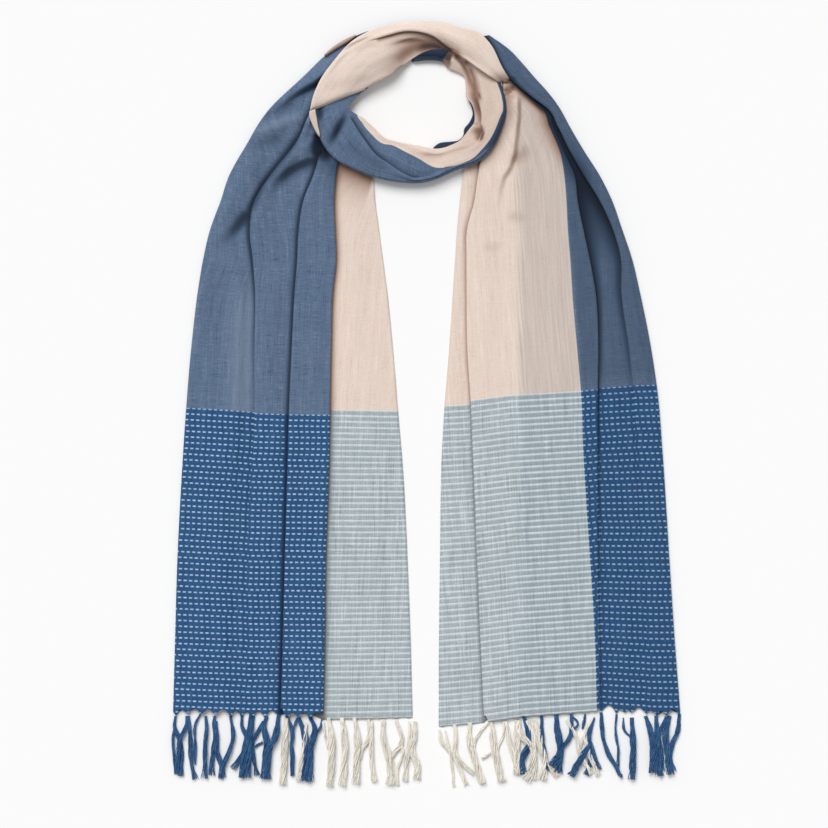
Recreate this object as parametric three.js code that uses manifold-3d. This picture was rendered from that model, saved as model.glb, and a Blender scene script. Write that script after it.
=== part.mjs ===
// A long handwoven scarf with fringed ends, lying flat and wound once into a loop.
// Millimetres, +Z up. The origin is on the surface below the middle of the scarf, +Y runs from the
// fringes to the neck loop, and +X is to the right as seen from above.
//
// The cloth runs from the left fringe up the left tail, behind the neck opening, round the front
// loop from right to left, over the opening as the neck band and down the right tail. Each stretch
// is lofted through upright sections that go from edge A to edge B. In every table s is the share of
// the way from A to B, and a height is counted up from the underside of the section.

import * as THREE from 'three';
import { mergeVertices } from 'three/addons/utils/BufferGeometryUtils.js';
import Module from 'manifold-3d';

const wasm = await Module();
wasm.setup();

// Driving sizes of the cloth and of its folds.
const WALL = 1.4;
const SEAM = 0.3;
const LAYER_GAP = 0.4;
const LEAST_STEP = 1.1;
const FOLD_LAP = 5;
const LAP_SHARE = 0.03;
const NOSE = 0.5;
const ROUND = 0.7;
const GROOVE_DEPTH = 2.4;
const TOP_POINTS = 3;
const ROW_STEPS = 2;
const FLUSH_LAYERS = 2;

// Driving sizes of the fringe.
const STRIP_WIDTH = 2.8;
const STRIP_THICKNESS = 1.2;
const LOW_STRIP = 0.35;
const HIGH_STRIP = 2;
const JOIN_DROP = 26;
const LEG_RADIUS = 0.75;
const STRAND_SIDES = 3;
const STRAND_REST = 0.35;
const LEG_REST = 0.4;
const LEG_BEND = 0.3;
const LEG_OVERLAP = 3;
const JOIN_SWELL = 1.3;
const MID_GIRTH = 0.9;

// Each row of a table becomes an object whose fields are the column names.
const table = (columns, ...rows) =>
  rows.map((row) => Object.fromEntries(columns.map((name, i) => [name, row[i]])));

// Left tail from the hem to the place where it passes below the neck band. A is the outer edge and B
// the selvedge by the opening. The ridge is the soft fold of the outer panel, the pleat has the
// right part lying over the left, and at the lap the blue cloth lies over the blush cloth.
const LEFT_TAIL = table(
  ['ax', 'ay', 'bx', 'by', 'ridge', 'valley', 'pleat', 'lap', 'bulk'],
  [-279, -336, -15, -340, 0.22, 0.31, 0.45, 0.63, 1],
  [-276, -213, -19, -217, 0.21, 0.3, 0.46, 0.64, 1],
  [-271, -103, -24, -105, 0.21, 0.31, 0.48, 0.66, 1],
  [-265, -2, -31, -5, 0.23, 0.33, 0.49, 0.68, 1],
  [-258, 73, -38, 72, 0.22, 0.31, 0.5, 0.7, 1],
  [-249, 145, -44, 133, 0.18, 0.29, 0.51, 0.71, 1],
  [-240, 188, -51, 183, 0.13, 0.26, 0.52, 0.73, 1.05],
  [-228, 222, -56, 225, 0.2, 0.3, 0.53, 0.73, 1.1],
  [-217, 254, -60, 256, 0.27, 0.37, 0.55, 0.74, 1.2],
  [-198, 289, -67, 279, 0.37, 0.46, 0.6, 0.75, 1.37],
  [-176, 324, -93, 314, 0.48, 0.57, 0.68, 0.8, 1.37],
  [-139, 359, -91, 340, 0.48, 0.57, 0.68, 0.8, 1.37],
  [-90, 401, -53, 366, 0.48, 0.57, 0.68, 0.8, 1.37],
  [-48, 414, -30, 384, 0.48, 0.57, 0.68, 0.8, 1.3],
  [-19.6, 413, -14.6, 381, 0.48, 0.57, 0.68, 0.8, 1.3],
);

// Right tail from the hem to the crumple beside the loop and up along the band. A is the selvedge by
// the opening and B the outer fold. At the pleat and at the lap the right part lies over the left.
const RIGHT_TAIL = table(
  ['ax', 'ay', 'bx', 'by', 'pleat', 'lap', 'ridge', 'bulk', 'gather'],
  [14, -347, 279, -338, 0.19, 0.67, 0.85, 1, 0],
  [14, -268, 273, -268, 0.18, 0.68, 0.86, 1, 0],
  [15, -169, 267, -169, 0.16, 0.69, 0.88, 1, 0],
  [16, -70, 261, -70, 0.14, 0.7, 0.88, 1, 0],
  [19, 9, 253, 20, 0.13, 0.72, 0.89, 1, 0],
  [27, 95, 242, 95, 0.1, 0.75, 0.9, 1, 0],
  [32, 178, 221, 178, 0.1, 0.76, 0.9, 1, 0],
  [37, 227, 203, 227, 0.1, 0.77, 0.89, 1.1, 0],
  [46, 282, 167, 292, 0.12, 0.72, 0.86, 1.15, 0],
  [57, 306, 149, 319, 0.2, 0.72, 0.86, 1.15, 2],
  [81, 343, 122, 357, 0.3, 0.6, 0.82, 1.15, 5],
  [78, 366, 104, 376, 0.3, 0.6, 0.82, 1.15, 4.8],
  [65, 388, 86, 393, 0.3, 0.6, 0.82, 1.15, 2],
  [53, 404, 67, 408, 0.3, 0.6, 0.82, 1, 0],
);

// Neck band from its turned end at the left corner to the crumple on the right. A is the outer edge
// and B the edge by the opening. At the fold its upper panel lies over the lower one.
const NECK_BAND = table(
  ['ax', 'ay', 'bx', 'by', 'base', 'crown', 'fold', 'step'],
  [-127, 322, -70, 346, 13.5, 7, 0.2, 1.2],
  [-122, 347, -59, 354, 11.5, 11, 0.2, 1.2],
  [-105, 374, -39, 365, 9.3, 14, 0.2, 1.2],
  [-79, 402, -28, 373, 9.3, 15, 0.2, 3],
  [-46, 418, -20, 379, 9.3, 15, 0.25, 3.6],
  [-13, 422, -2, 390, 9.3, 14, 0.37, 3.6],
  [22, 420, 21, 393, 9.3, 13, 0.8, 2],
  [54, 411, 41, 382, 9.3, 12, 0.85, 1.2],
  [71, 396, 57, 372, 9.6, 11, 0.85, 1.2],
  [84, 370, 73, 365, 9.5, 8, 0.85, 1.2],
  [88, 364, 78, 362, 9.5, 6, 0.85, 1.2],
);

// Front loop from below the band, down the right side, round the front and up to the left corner. A
// is the outer edge and B the edge by the opening. The fold is the crease of the right arm first,
// and from the middle of the front the diagonal fold of the left half.
const FRONT_LOOP = table(
  ['ax', 'ay', 'bx', 'by', 'base', 'crown', 'fold', 'step'],
  [-19, 413, -14, 381, 0, 8.6, 0.7, 1.2],
  [17, 413, 16, 380, 0, 8.6, 0.7, 1.2],
  [52, 392, 35, 367, 0, 8.6, 0.7, 1.2],
  [77, 362, 44, 353, 1, 8, 0.76, 1.2],
  [86, 339, 45, 339, 6.5, 9, 0.78, 2.6],
  [86, 315, 51, 324, 7.6, 11, 0.79, 3],
  [75, 289, 43, 306, 6.4, 12.5, 0.6, 1.2],
  [56, 268, 35, 292, 5, 13.5, 0.4, 1.2],
  [26, 257, 16, 289, 4.5, 14, 0.2, 1.2],
  [-7, 246, -7, 286, 5, 13.5, 0.15, 1.6],
  [-45, 249, -36, 291, 7, 12, 0.36, 3.2],
  [-82, 262, -58, 305, 8, 11, 0.62, 3.4],
  [-107, 279, -76, 318, 8, 9, 0.82, 2.4],
  [-123, 309, -87, 327, 8, 6, 0.82, 1.2],
  [-124, 329, -79, 339, 8, 4.5, 0.82, 1.2],
);

// Tassels, each with two legs that leave the hem beside root and meet at join, and a tuft from there
// to its tip. The end is the tip's Y and the girth the tuft's radius.
const TASSEL = ['root', 'spread', 'join', 'tip', 'end', 'girth'];
const LEFT_BLUE = table(
  TASSEL,
  [-269, 7, -273, -270, -410, 2.2],
  [-254, 6, -255, -254, -414, 1.8],
  [-242, 4, -243, -243, -413, 1.3],
  [-231, 3, -232, -237, -409, 1.4],
  [-222, 5, -223, -226, -413, 1.7],
  [-196, 6, -196, -201, -412, 2.4],
  [-183, 4, -188, -186, -409, 1.3],
  [-169, 7, -174, -176, -413, 2.4],
  [-148, 6, -148, -148, -410, 2],
  [-137, 4, -134, -134, -414, 1.9],
  [-122, 6, -125, -127, -417, 2.2],
);
const LEFT_CREAM = table(
  TASSEL,
  [-158, 3, -157, -158, -419, 2.2],
  [-111, 4, -107, -107, -421.5, 2.4],
  [-93, 3, -91, -92, -421.5, 2.4],
  [-73, 6, -75, -77, -418, 2.4],
  [-60, 3, -61, -56, -417, 2.1],
  [-43, 6, -40, -39, -419.5, 2.4],
  [-30, 3, -28, -30, -419, 1.2],
  [-22, 3, -20, -22, -416, 1.9],
  [-16, 2, -15, -11, -413, 2.2],
);
const RIGHT_CREAM = table(
  TASSEL,
  [20, 5, 27, 32, -422, 1.6],
  [31, 4, 36, 45, -419, 2.4],
  [48, 5, 51, 60, -418, 2.6],
  [66, 6, 72, 78, -416, 2.6],
  [87, 4, 91, 96, -408, 2],
  [106, 5, 112, 112, -413, 2.2],
  [118, 3, 121, 120, -415, 2.2],
  [128, 4, 129, 129, -411, 2],
  [160, 4, 172, 183, -407, 1.9],
);
const RIGHT_BLUE = table(
  TASSEL,
  [112, 4, 105, 105, -408, 1.6],
  [145, 7, 141, 139, -408, 2.3],
  [168, 4, 161, 157, -408, 1.7],
  [184, 5, 186, 192, -405, 1.7],
  [200, 4, 205, 211, -410, 2],
  [216, 5, 220, 220, -413, 2.2],
  [235, 4, 240, 240, -408, 2.3],
  [250, 4, 250, 249, -412, 2.1],
  [262, 4, 260, 258, -409, 2.2],
  [274, 4, 268, 266, -408, 1.5],
);

// Nominal heights of the single and stacked layers across the tails.
const BLUSH_TOP = 1.8;
const UNDER_FOLD_TOP = 2.2;
const VALLEY_TOP = 2;
const PANEL_TOP = 3.4;
const RIDGE_TOP = 5.4;
const RIDGE_LIFT = 2.2;
const LEAST_LIFT = 0.3;
const LIFT_FADE = 8;
const RIDGE_REACH = 13;
const PLEAT_TOP = 5;

// Shares of a nominal height where a surface is a little lower or higher than it.
const OUTER_EDGE = 0.8;
const PLEAT_CREST = 1.12;
const NEAR_EDGE = 0.9;
const STRIP_VALLEY = 1.2;

// Crown of the wound stretches: height at its edges, how much higher its middle is, and the shares
// of the fold's step that the inner part has lost by its middle and by edge B.
const CROWN_EDGE = 0.66;
const CROWN_RISE = 0.34;
const INNER_EDGE = 0.6;
const STEP_AT_MIDDLE = 0.6;
const STEP_AT_EDGE = 0.3;

// One value of a smooth curve through four even control values.
function catmull(p0, p1, p2, p3, t) {
  const turn = -p0 + 3 * p1 - 3 * p2 + p3;
  const bend = 2 * p0 - 5 * p1 + 4 * p2 - p3;
  return 0.5 * (2 * p1 + (p2 - p0) * t + bend * t * t + turn * t * t * t);
}

// Rows in between, with every column on a smooth curve through the table's rows.
function refine(rows, steps) {
  const at = (i) => rows[Math.min(Math.max(i, 0), rows.length - 1)];
  const fine = [];
  for (let i = 0; i < rows.length - 1; i++) {
    for (let k = 0; k < steps; k++) {
      const row = {};
      for (const key of Object.keys(rows[0])) {
        const near = [-1, 0, 1, 2].map((o) => at(i + o)[key]);
        row[key] = catmull(...near, k / steps);
      }
      fine.push(row);
    }
  }
  fine.push(rows[rows.length - 1]);
  return fine;
}

// Points from one station to the next, easing from its height to the other.
function ease(d0, z0, d1, z1, count) {
  const points = [];
  for (let i = 0; i <= count; i++) {
    const t = i / count;
    points.push([d0 + (d1 - d0) * t, z0 + (z1 - z0) * (1 - Math.cos(Math.PI * t)) / 2]);
  }
  return points;
}

// Upper surface of a section through its stations. A station is { d, left, right }: the distance
// from A and the heights on its two sides. Where they differ, the higher side is a folded layer
// with a round nose that laps over the lower one.
function topChain(stations, width) {
  const lap = Math.min(FOLD_LAP, width * LAP_SHARE);
  const chain = [];
  for (let i = 0; i < stations.length - 1; i++) {
    const [from, to] = [stations[i], stations[i + 1]];
    const start = from.right > from.left ? from.d + ROUND : from.d;
    const stop = to.left > to.right ? to.d - ROUND : to.d;
    const first = chain.length ? 1 : 0;
    if (!first || from.left !== from.right) chain.push([start, from.right]);
    chain.push(...ease(start, from.right, stop, to.left, TOP_POINTS).slice(1));
    if (to.left < to.right) {
      chain.push([to.d + lap, to.left], [to.d + lap, to.left + LAYER_GAP]);
      chain.push([to.d + NOSE, to.left + LAYER_GAP], [to.d, (to.left + LAYER_GAP + to.right) / 2]);
    } else if (to.left > to.right) {
      chain.push([to.d, (to.right + LAYER_GAP + to.left) / 2], [to.d - NOSE, to.right + LAYER_GAP]);
      chain.push([to.d - lap, to.right + LAYER_GAP], [to.d - lap, to.right]);
    }
  }
  return chain;
}

// An edge of stacked layers from its foot to its top, as [inset, height] points: a round nose for
// each layer and a groove between two of them. Layers above the flush ones step back.
function edgeChain(height, layers) {
  const points = [];
  for (let i = 0; i < layers; i++) {
    const [low, high] = [(height * i) / layers, (height * (i + 1)) / layers];
    const inset = i < FLUSH_LAYERS ? 0 : NOSE * i;
    points.push([inset + ROUND, low + (i ? LAYER_GAP : 0)]);
    points.push([inset, (low + high) / 2]);
    points.push([inset + ROUND, high]);
    if (i < layers - 1) points.push([inset + GROOVE_DEPTH, high + LAYER_GAP / 2]);
  }
  return points;
}

// The closed ring of a section: its underside from A to B, edge B, the top back to A and edge A.
function sectionRing(row, profile) {
  const width = Math.hypot(row.bx - row.ax, row.by - row.ay);
  const { stations, layersA, layersB, underside } = profile(row, width);
  const edgeA = edgeChain(stations[0].right, layersA);
  const edgeB = edgeChain(stations[stations.length - 1].left, layersB);
  const ring = [...underside];
  ring.push(...edgeB.map(([inset, z]) => [width - inset, z]));
  ring.push(...topChain(stations, width).slice(1, -1).reverse());
  ring.push(...edgeA.reverse());
  const [ux, uy] = [(row.bx - row.ax) / width, (row.by - row.ay) / width];
  const base = Math.max(row.base ?? 0, 0);
  return {
    flat: ring.map(([d, z]) => new THREE.Vector2(d, z)),
    solid: ring.map(([d, z]) => [row.ax + ux * d, row.ay + uy * d, base + z]),
  };
}

// Stations of a layered section at distances d across it.
const soft = (d, z) => ({ d, left: z, right: z });
const stepped = (d, left, right) => ({ d, left, right });

function leftTailProfile(row, width) {
  const k = row.bulk;
  const at = (s) => s * width;
  const stations = [
    soft(ROUND, PANEL_TOP * k * OUTER_EDGE),
    soft(at(row.ridge), RIDGE_TOP * k),
    soft(at(row.valley), VALLEY_TOP * k),
    stepped(at(row.pleat), UNDER_FOLD_TOP * k, PLEAT_TOP * k),
    soft(at((row.pleat + row.lap) / 2), PLEAT_TOP * k * PLEAT_CREST),
    stepped(at(row.lap), PLEAT_TOP * k * NEAR_EDGE, BLUSH_TOP * k),
    soft(at((1 + row.lap) / 2), UNDER_FOLD_TOP * k),
    soft(width - ROUND, WALL * k),
  ];
  const ridge = at(row.ridge);
  const lift = Math.max(RIDGE_LIFT * (1 - (k - 1) * LIFT_FADE), LEAST_LIFT);
  const underside = [[ridge - RIDGE_REACH, 0], [ridge, lift], [ridge + RIDGE_REACH, 0]];
  return { stations, layersA: 2, layersB: 1, underside };
}

function rightTailProfile(row, width) {
  const k = row.bulk;
  const at = (s) => s * width;
  const middle = (row.pleat + row.lap) / 2;
  const stations = [
    soft(ROUND, WALL * k),
    stepped(at(row.pleat), BLUSH_TOP * k, PANEL_TOP * k + row.gather),
    soft(at(middle), PANEL_TOP * k * NEAR_EDGE + row.gather),
    stepped(at(row.lap), UNDER_FOLD_TOP * k + row.gather / 2, PLEAT_TOP * k + row.gather / 2),
    soft(at((row.lap + row.ridge) / 2), PANEL_TOP * k * STRIP_VALLEY),
    soft(at(row.ridge), RIDGE_TOP * k),
    soft(at((1 + row.ridge) / 2), PANEL_TOP * k),
    soft(width - ROUND, PANEL_TOP * k * NEAR_EDGE),
  ];
  return { stations, layersA: 1, layersB: 2, underside: [] };
}

// Thick wound stretches share one profile: a crown that rounds off to layered edges, with one fold
// whose outer part lies over the inner one.
function woundProfile(row, width) {
  const at = (s) => s * width;
  const bend = (s) =>
    row.crown * (CROWN_EDGE + CROWN_RISE * Math.sin(Math.PI * Math.min(Math.max(s, 0), 1)));
  const step = Math.max(row.step, LEAST_STEP);
  const stations = [
    soft(ROUND, row.crown * CROWN_EDGE),
    soft(at(row.fold / 2), bend(row.fold / 2)),
    stepped(at(row.fold), bend(row.fold), bend(row.fold) - step),
    soft(at((1 + row.fold) / 2), bend((1 + row.fold) / 2) - step * STEP_AT_MIDDLE),
    soft(width - ROUND, row.crown * INNER_EDGE - step * STEP_AT_EDGE),
  ];
  return { stations, layersA: 3, layersB: 3, underside: [] };
}

// Closed loft through the rings of the refined rows, as { points, triangles }.
function loft(rows, profile) {
  const rings = refine(rows, ROW_STEPS).map((row) => sectionRing(row, profile));
  const count = rings[0].solid.length;
  const points = rings.flatMap((ring) => ring.solid);
  const triangles = [];
  for (let r = 0; r < rings.length - 1; r++) {
    for (let i = 0; i < count; i++) {
      const j = (i + 1) % count;
      const [a, b] = [r * count + i, r * count + j];
      triangles.push([a, b, b + count], [a, b + count, a + count]);
    }
  }
  const capFirst = THREE.ShapeUtils.triangulateShape(rings[0].flat, []);
  const capLast = THREE.ShapeUtils.triangulateShape(rings[rings.length - 1].flat, []);
  const last = (rings.length - 1) * count;
  triangles.push(...capFirst.map(([a, b, c]) => [a, c, b]));
  triangles.push(...capLast.map(([a, b, c]) => [last + a, last + b, last + c]));
  return outward(points, triangles);
}

// Turns every face of a closed shape when its faces point inwards.
function outward(points, triangles) {
  let volume = 0;
  for (const [a, b, c] of triangles) {
    const [pa, pb, pc] = [points[a], points[b], points[c]].map((p) => new THREE.Vector3(...p));
    volume += pa.dot(pb.cross(pc));
  }
  const faces = volume < 0 ? triangles.map(([a, b, c]) => [a, c, b]) : triangles;
  return { points, triangles: faces };
}

function toGeometry({ points, triangles }) {
  const geometry = new THREE.BufferGeometry();
  geometry.setAttribute('position', new THREE.Float32BufferAttribute(points.flat(), 3));
  geometry.setIndex(triangles.flat());
  return mergeVertices(geometry, 1e-3);
}

function toManifold(shape) {
  const geometry = toGeometry(shape);
  return new wasm.Manifold(new wasm.Mesh({
    numProp: 3,
    vertProperties: new Float32Array(geometry.attributes.position.array),
    triVerts: new Uint32Array(geometry.index.array),
  }));
}

function fromManifold(manifold) {
  const mesh = manifold.getMesh();
  const geometry = new THREE.BufferGeometry();
  geometry.setAttribute('position', new THREE.BufferAttribute(mesh.vertProperties, 3));
  geometry.setIndex(new THREE.BufferAttribute(mesh.triVerts, 1));
  return mergeVertices(geometry, 1e-3);
}

// A strand through points [x, y, z, radius], with a triangular section that stands on one side.
function strand(path) {
  const points = [];
  const triangles = [];
  path.forEach(([x, y, z, radius], i) => {
    const [before, after] = [path[Math.max(i - 1, 0)], path[Math.min(i + 1, path.length - 1)]];
    const along = new THREE.Vector2(after[0] - before[0], after[1] - before[1]).normalize();
    for (let k = 0; k < STRAND_SIDES; k++) {
      const angle = Math.PI / 2 + (2 * Math.PI * k) / STRAND_SIDES;
      const [side, up] = [Math.cos(angle) * radius, Math.sin(angle) * radius];
      points.push([x - along.y * side, y + along.x * side, z + up]);
    }
  });
  for (let r = 0; r < path.length - 1; r++) {
    for (let k = 0; k < STRAND_SIDES; k++) {
      const [a, b] = [r * STRAND_SIDES + k, r * STRAND_SIDES + ((k + 1) % STRAND_SIDES)];
      triangles.push([a, b, b + STRAND_SIDES], [a, b + STRAND_SIDES, a + STRAND_SIDES]);
    }
  }
  const last = (path.length - 1) * STRAND_SIDES;
  triangles.push([0, 2, 1], [last, last + 1, last + 2]);
  return outward(points, triangles);
}

// Straight hem of a tail between its two edges, and a place on it at a given X.
function hemLine({ ax, ay, bx, by }) {
  return (x) => ay + ((by - ay) * (x - ax)) / (bx - ax);
}

// The narrow strip just outside the hem that holds the roots of a fringe.
function rootStrip(hem, from, to, low) {
  const outline = new THREE.Shape([
    new THREE.Vector2(from, hem(from) - SEAM - STRIP_WIDTH),
    new THREE.Vector2(to, hem(to) - SEAM - STRIP_WIDTH),
    new THREE.Vector2(to, hem(to) - SEAM),
    new THREE.Vector2(from, hem(from) - SEAM),
  ]);
  const strip = new THREE.ExtrudeGeometry(outline, { depth: STRIP_THICKNESS, bevelEnabled: false });
  strip.translate(0, 0, low);
  strip.deleteAttribute('normal');
  strip.deleteAttribute('uv');
  const merged = mergeVertices(strip, 1e-3);
  return new wasm.Manifold(new wasm.Mesh({
    numProp: 3,
    vertProperties: new Float32Array(merged.attributes.position.array),
    triVerts: new Uint32Array(merged.index.array),
  }));
}

// A fringe of tassels fused to its strip. The strands sink from the strip's height to lie just above
// the surface at their tips.
function fringe(tailRow, from, to, low, tassels) {
  const hem = hemLine(tailRow);
  const rootZ = low + STRIP_THICKNESS / 2;
  const joinZ = Math.max(rootZ, LEG_RADIUS + LEG_REST);
  let solid = rootStrip(hem, from, to, low);
  for (const { root, spread, join, tip, end, girth } of tassels) {
    const rootY = hem(root) - SEAM - STRIP_WIDTH / 2;
    const joinY = rootY - JOIN_DROP;
    const tipZ = girth / 2 + STRAND_REST;
    const midZ = Math.max(joinZ, tipZ);
    for (const side of [-1, 1]) {
      const start = root + side * spread;
      solid = solid.add(toManifold(strand([
        [start, rootY, rootZ, LEG_RADIUS],
        [start + (join - start) * LEG_BEND, rootY - JOIN_DROP / 2, joinZ, LEG_RADIUS],
        [join, joinY - LEG_OVERLAP, joinZ, LEG_RADIUS],
      ])));
    }
    solid = solid.add(toManifold(strand([
      [join, joinY, joinZ, LEG_RADIUS * JOIN_SWELL],
      [(join + tip) / 2, (joinY + end) / 2, midZ, girth * MID_GIRTH],
      [tip, end, tipZ, girth],
    ])));
  }
  return fromManifold(solid);
}

const fabric = (color, roughness = 0.9) =>
  new THREE.MeshStandardMaterial({ color, roughness, metalness: 0 });
const SLATE = fabric(0x5a7391);
const BLUSH = fabric(0xe0cdc1);
const DEEP_BLUE = fabric(0x2d5a8c);
const CREAM = fabric(0xe8e2d4);

function named(name, geometry, material) {
  const mesh = new THREE.Mesh(geometry, material);
  mesh.name = name;
  return mesh;
}

const [LEFT_HEM, RIGHT_HEM] = [LEFT_TAIL[0], RIGHT_TAIL[0]];
const COLOUR_EDGE = { leftBlue: -112, leftCream: -166, rightCream: 188, rightBlue: 104 };

const cloth = new THREE.Group();
cloth.add(
  named('left_tail', toGeometry(loft(LEFT_TAIL, leftTailProfile)), SLATE),
  named('right_tail', toGeometry(loft(RIGHT_TAIL, rightTailProfile)), BLUSH),
  named('neck_band', toGeometry(loft(NECK_BAND, woundProfile)), BLUSH),
  named('front_loop', toGeometry(loft(FRONT_LOOP, woundProfile)), SLATE),
);

const fringes = new THREE.Group();
fringes.add(
  named('left_fringe_blue',
    fringe(LEFT_HEM, LEFT_HEM.ax, COLOUR_EDGE.leftBlue, HIGH_STRIP, LEFT_BLUE), DEEP_BLUE),
  named('left_fringe_cream',
    fringe(LEFT_HEM, COLOUR_EDGE.leftCream, LEFT_HEM.bx, LOW_STRIP, LEFT_CREAM), CREAM),
  named('right_fringe_cream',
    fringe(RIGHT_HEM, RIGHT_HEM.ax, COLOUR_EDGE.rightCream, HIGH_STRIP, RIGHT_CREAM), CREAM),
  named('right_fringe_blue',
    fringe(RIGHT_HEM, COLOUR_EDGE.rightBlue, RIGHT_HEM.bx, LOW_STRIP, RIGHT_BLUE), DEEP_BLUE),
);

const scarf = new THREE.Group();
scarf.add(cloth, fringes);

export default scarf;
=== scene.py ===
"""Looks of a long handwoven scarf that lies flat, wound once into a loop at the neck.

Every stretch of cloth starts as a flat piece of the size of what shows of it, with its UV in metres
of flat cloth, and is then laid into its folds row by row. The rows and fold lines are read from the
photograph in its own pixels, and heights are in millimetres above the surface.
"""

import logging
import math
from dataclasses import dataclass
from enum import Enum

import bpy
import numpy as np
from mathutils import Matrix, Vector


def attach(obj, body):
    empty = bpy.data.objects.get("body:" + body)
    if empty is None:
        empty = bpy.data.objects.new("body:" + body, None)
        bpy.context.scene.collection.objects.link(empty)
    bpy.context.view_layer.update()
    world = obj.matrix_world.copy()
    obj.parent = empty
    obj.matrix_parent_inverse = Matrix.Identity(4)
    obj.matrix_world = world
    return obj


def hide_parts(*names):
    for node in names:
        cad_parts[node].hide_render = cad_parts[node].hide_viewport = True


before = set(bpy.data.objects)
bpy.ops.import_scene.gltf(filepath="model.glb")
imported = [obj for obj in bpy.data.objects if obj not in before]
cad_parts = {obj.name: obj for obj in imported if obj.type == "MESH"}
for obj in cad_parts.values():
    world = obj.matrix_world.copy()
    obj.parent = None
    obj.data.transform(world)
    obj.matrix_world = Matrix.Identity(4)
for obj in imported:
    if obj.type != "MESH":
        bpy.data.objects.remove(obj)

LOG = logging.getLogger("scarf")
MM = 0.001


@dataclass(frozen=True)
class PhotoScale:
    """How the photograph's pixels map to the surface, seen straight from above."""

    pixel: float = 1.1 * MM
    origin_x: float = 426.5
    origin_y: float = 406.5
    middle: float = 414.0
    width: float = 828.0

    def x(self, px: np.ndarray | float) -> np.ndarray | float:
        """Place of a pixel column in metres."""
        return (px - self.origin_x) * self.pixel

    def y(self, py: np.ndarray | float) -> np.ndarray | float:
        """Place of a pixel row in metres."""
        return (self.origin_y - py) * self.pixel


PHOTO = PhotoScale()


@dataclass(frozen=True)
class Lens:
    """The long lens of the photograph."""

    focal: float = 150.0
    sensor: float = 36.0


@dataclass(frozen=True)
class WeaveSizes:
    """Sizes of the woven pattern in metres of flat cloth, with v from the hem.

    U is counted so that the blush part ends at blush_end on every stretch. That only places the
    pattern, and isn't the width of the blush part.
    """

    blush_end: float = 0.155
    panel_length: float = 0.3345
    body_start: float = 1.0
    colour_edge: float = 0.0003
    panel_edge: float = 0.0006
    first_row: float = 0.0077
    row_pitch: float = 0.00628
    dash_pitch: float = 0.0061
    dash_share: float = 0.56
    dash_blur: float = 0.09
    dash_height: float = 0.0016
    line_blur: float = 0.0003
    pale_line: tuple[float, float] = (0.0017, 0.0006)
    row_waver: float = 0.0009


WEAVE = WeaveSizes()


@dataclass(frozen=True)
class ClothSizes:
    """Thickness of the cloth and sizes of its folded edges in metres."""

    thickness: float = 0.9 * MM
    pitch: float = 1.15 * MM
    floor: float = 0.55 * MM
    return_width: float = 26 * MM
    column: float = 2.1 * MM
    row: float = 2.7 * MM


CLOTH = ClothSizes()


@dataclass(frozen=True)
class Finish:
    """Body, light and dark colours of one kind of yarn or cloth as linear RGB."""

    body: tuple[float, float, float]
    light: tuple[float, float, float]
    dark: tuple[float, float, float]


@dataclass(frozen=True)
class ClothFinish(Finish):
    """Colours of one part of the cloth, with its painted shade for shaded and for deepest folds."""

    shade: tuple[float, float, float]
    deep: tuple[float, float, float]


@dataclass(frozen=True)
class YarnFinish(Finish):
    """Colours of one yarn of the fringe, and its roughness."""

    roughness: float


def srgb(red: int, green: int, blue: int) -> tuple[float, float, float]:
    """Linear colour of an 8-bit display colour."""
    def linear(value: int) -> float:
        """Linear share of one channel."""
        share = value / 255
        return share / 12.92 if share <= 0.04045 else ((share + 0.055) / 1.055) ** 2.4
    return linear(red), linear(green), linear(blue)


CLOTH_ROUGHNESS = 0.92
# The last two colours of each cloth finish are painted shade: of shaded and of the deepest folds.
SLATE = ClothFinish(srgb(92, 111, 137), srgb(119, 136, 158), srgb(67, 85, 110), srgb(56, 72, 94),
                    srgb(26, 34, 48))
BLUSH = ClothFinish(srgb(226, 208, 196), srgb(238, 224, 213), srgb(208, 187, 173),
                    srgb(154, 125, 110), srgb(44, 40, 44))
NAVY = ClothFinish(srgb(44, 83, 125), srgb(66, 106, 148), srgb(30, 62, 101), srgb(28, 56, 90),
                   srgb(16, 26, 46))
GREY = ClothFinish(srgb(164, 174, 178), srgb(199, 206, 208), srgb(131, 144, 150),
                   srgb(122, 126, 128), srgb(50, 54, 58))
VEILED_BLUSH = srgb(172, 165, 161)
VEILED_GREY = srgb(120, 136, 150)
PALE_WEFT = srgb(214, 225, 230)
DASH_WEFT = srgb(176, 203, 230)
BLUE_YARN = YarnFinish(srgb(52, 98, 146), srgb(80, 124, 168), srgb(30, 66, 110), 0.8)
CREAM_YARN = YarnFinish(srgb(246, 241, 230), srgb(252, 249, 242), srgb(228, 219, 204), 0.85)


@dataclass(frozen=True)
class Grain:
    """Noise of the weave: its scales across and along the cloth, its place and its detail."""

    across: float
    along: float
    place: float
    detail: float = 2.0


WARP_GRAIN = Grain(900, 30, 0.0, 3.0)
WEFT_GRAIN = Grain(90, 900, 8.1, 3.0)
BROAD_GRAIN = Grain(170, 6, 3.7)
FLECK_GRAIN = Grain(620, 620, 4.4)
BAND_GRAIN = Grain(7, 150, 5.3)
VEIL_GRAIN = Grain(520, 11, 1.9, 3.0)
WAVER_GRAIN = Grain(16, 30, 2.2)
HEATHER_GRAIN = Grain(900, 30, 6.6)


# Tables of the stretches.


def table(names: str, *rows: tuple[float, ...]) -> dict[str, np.ndarray]:
    """Columns of a table by name."""
    columns = np.array(rows, float).T
    return dict(zip(names.split(), columns))


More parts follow.
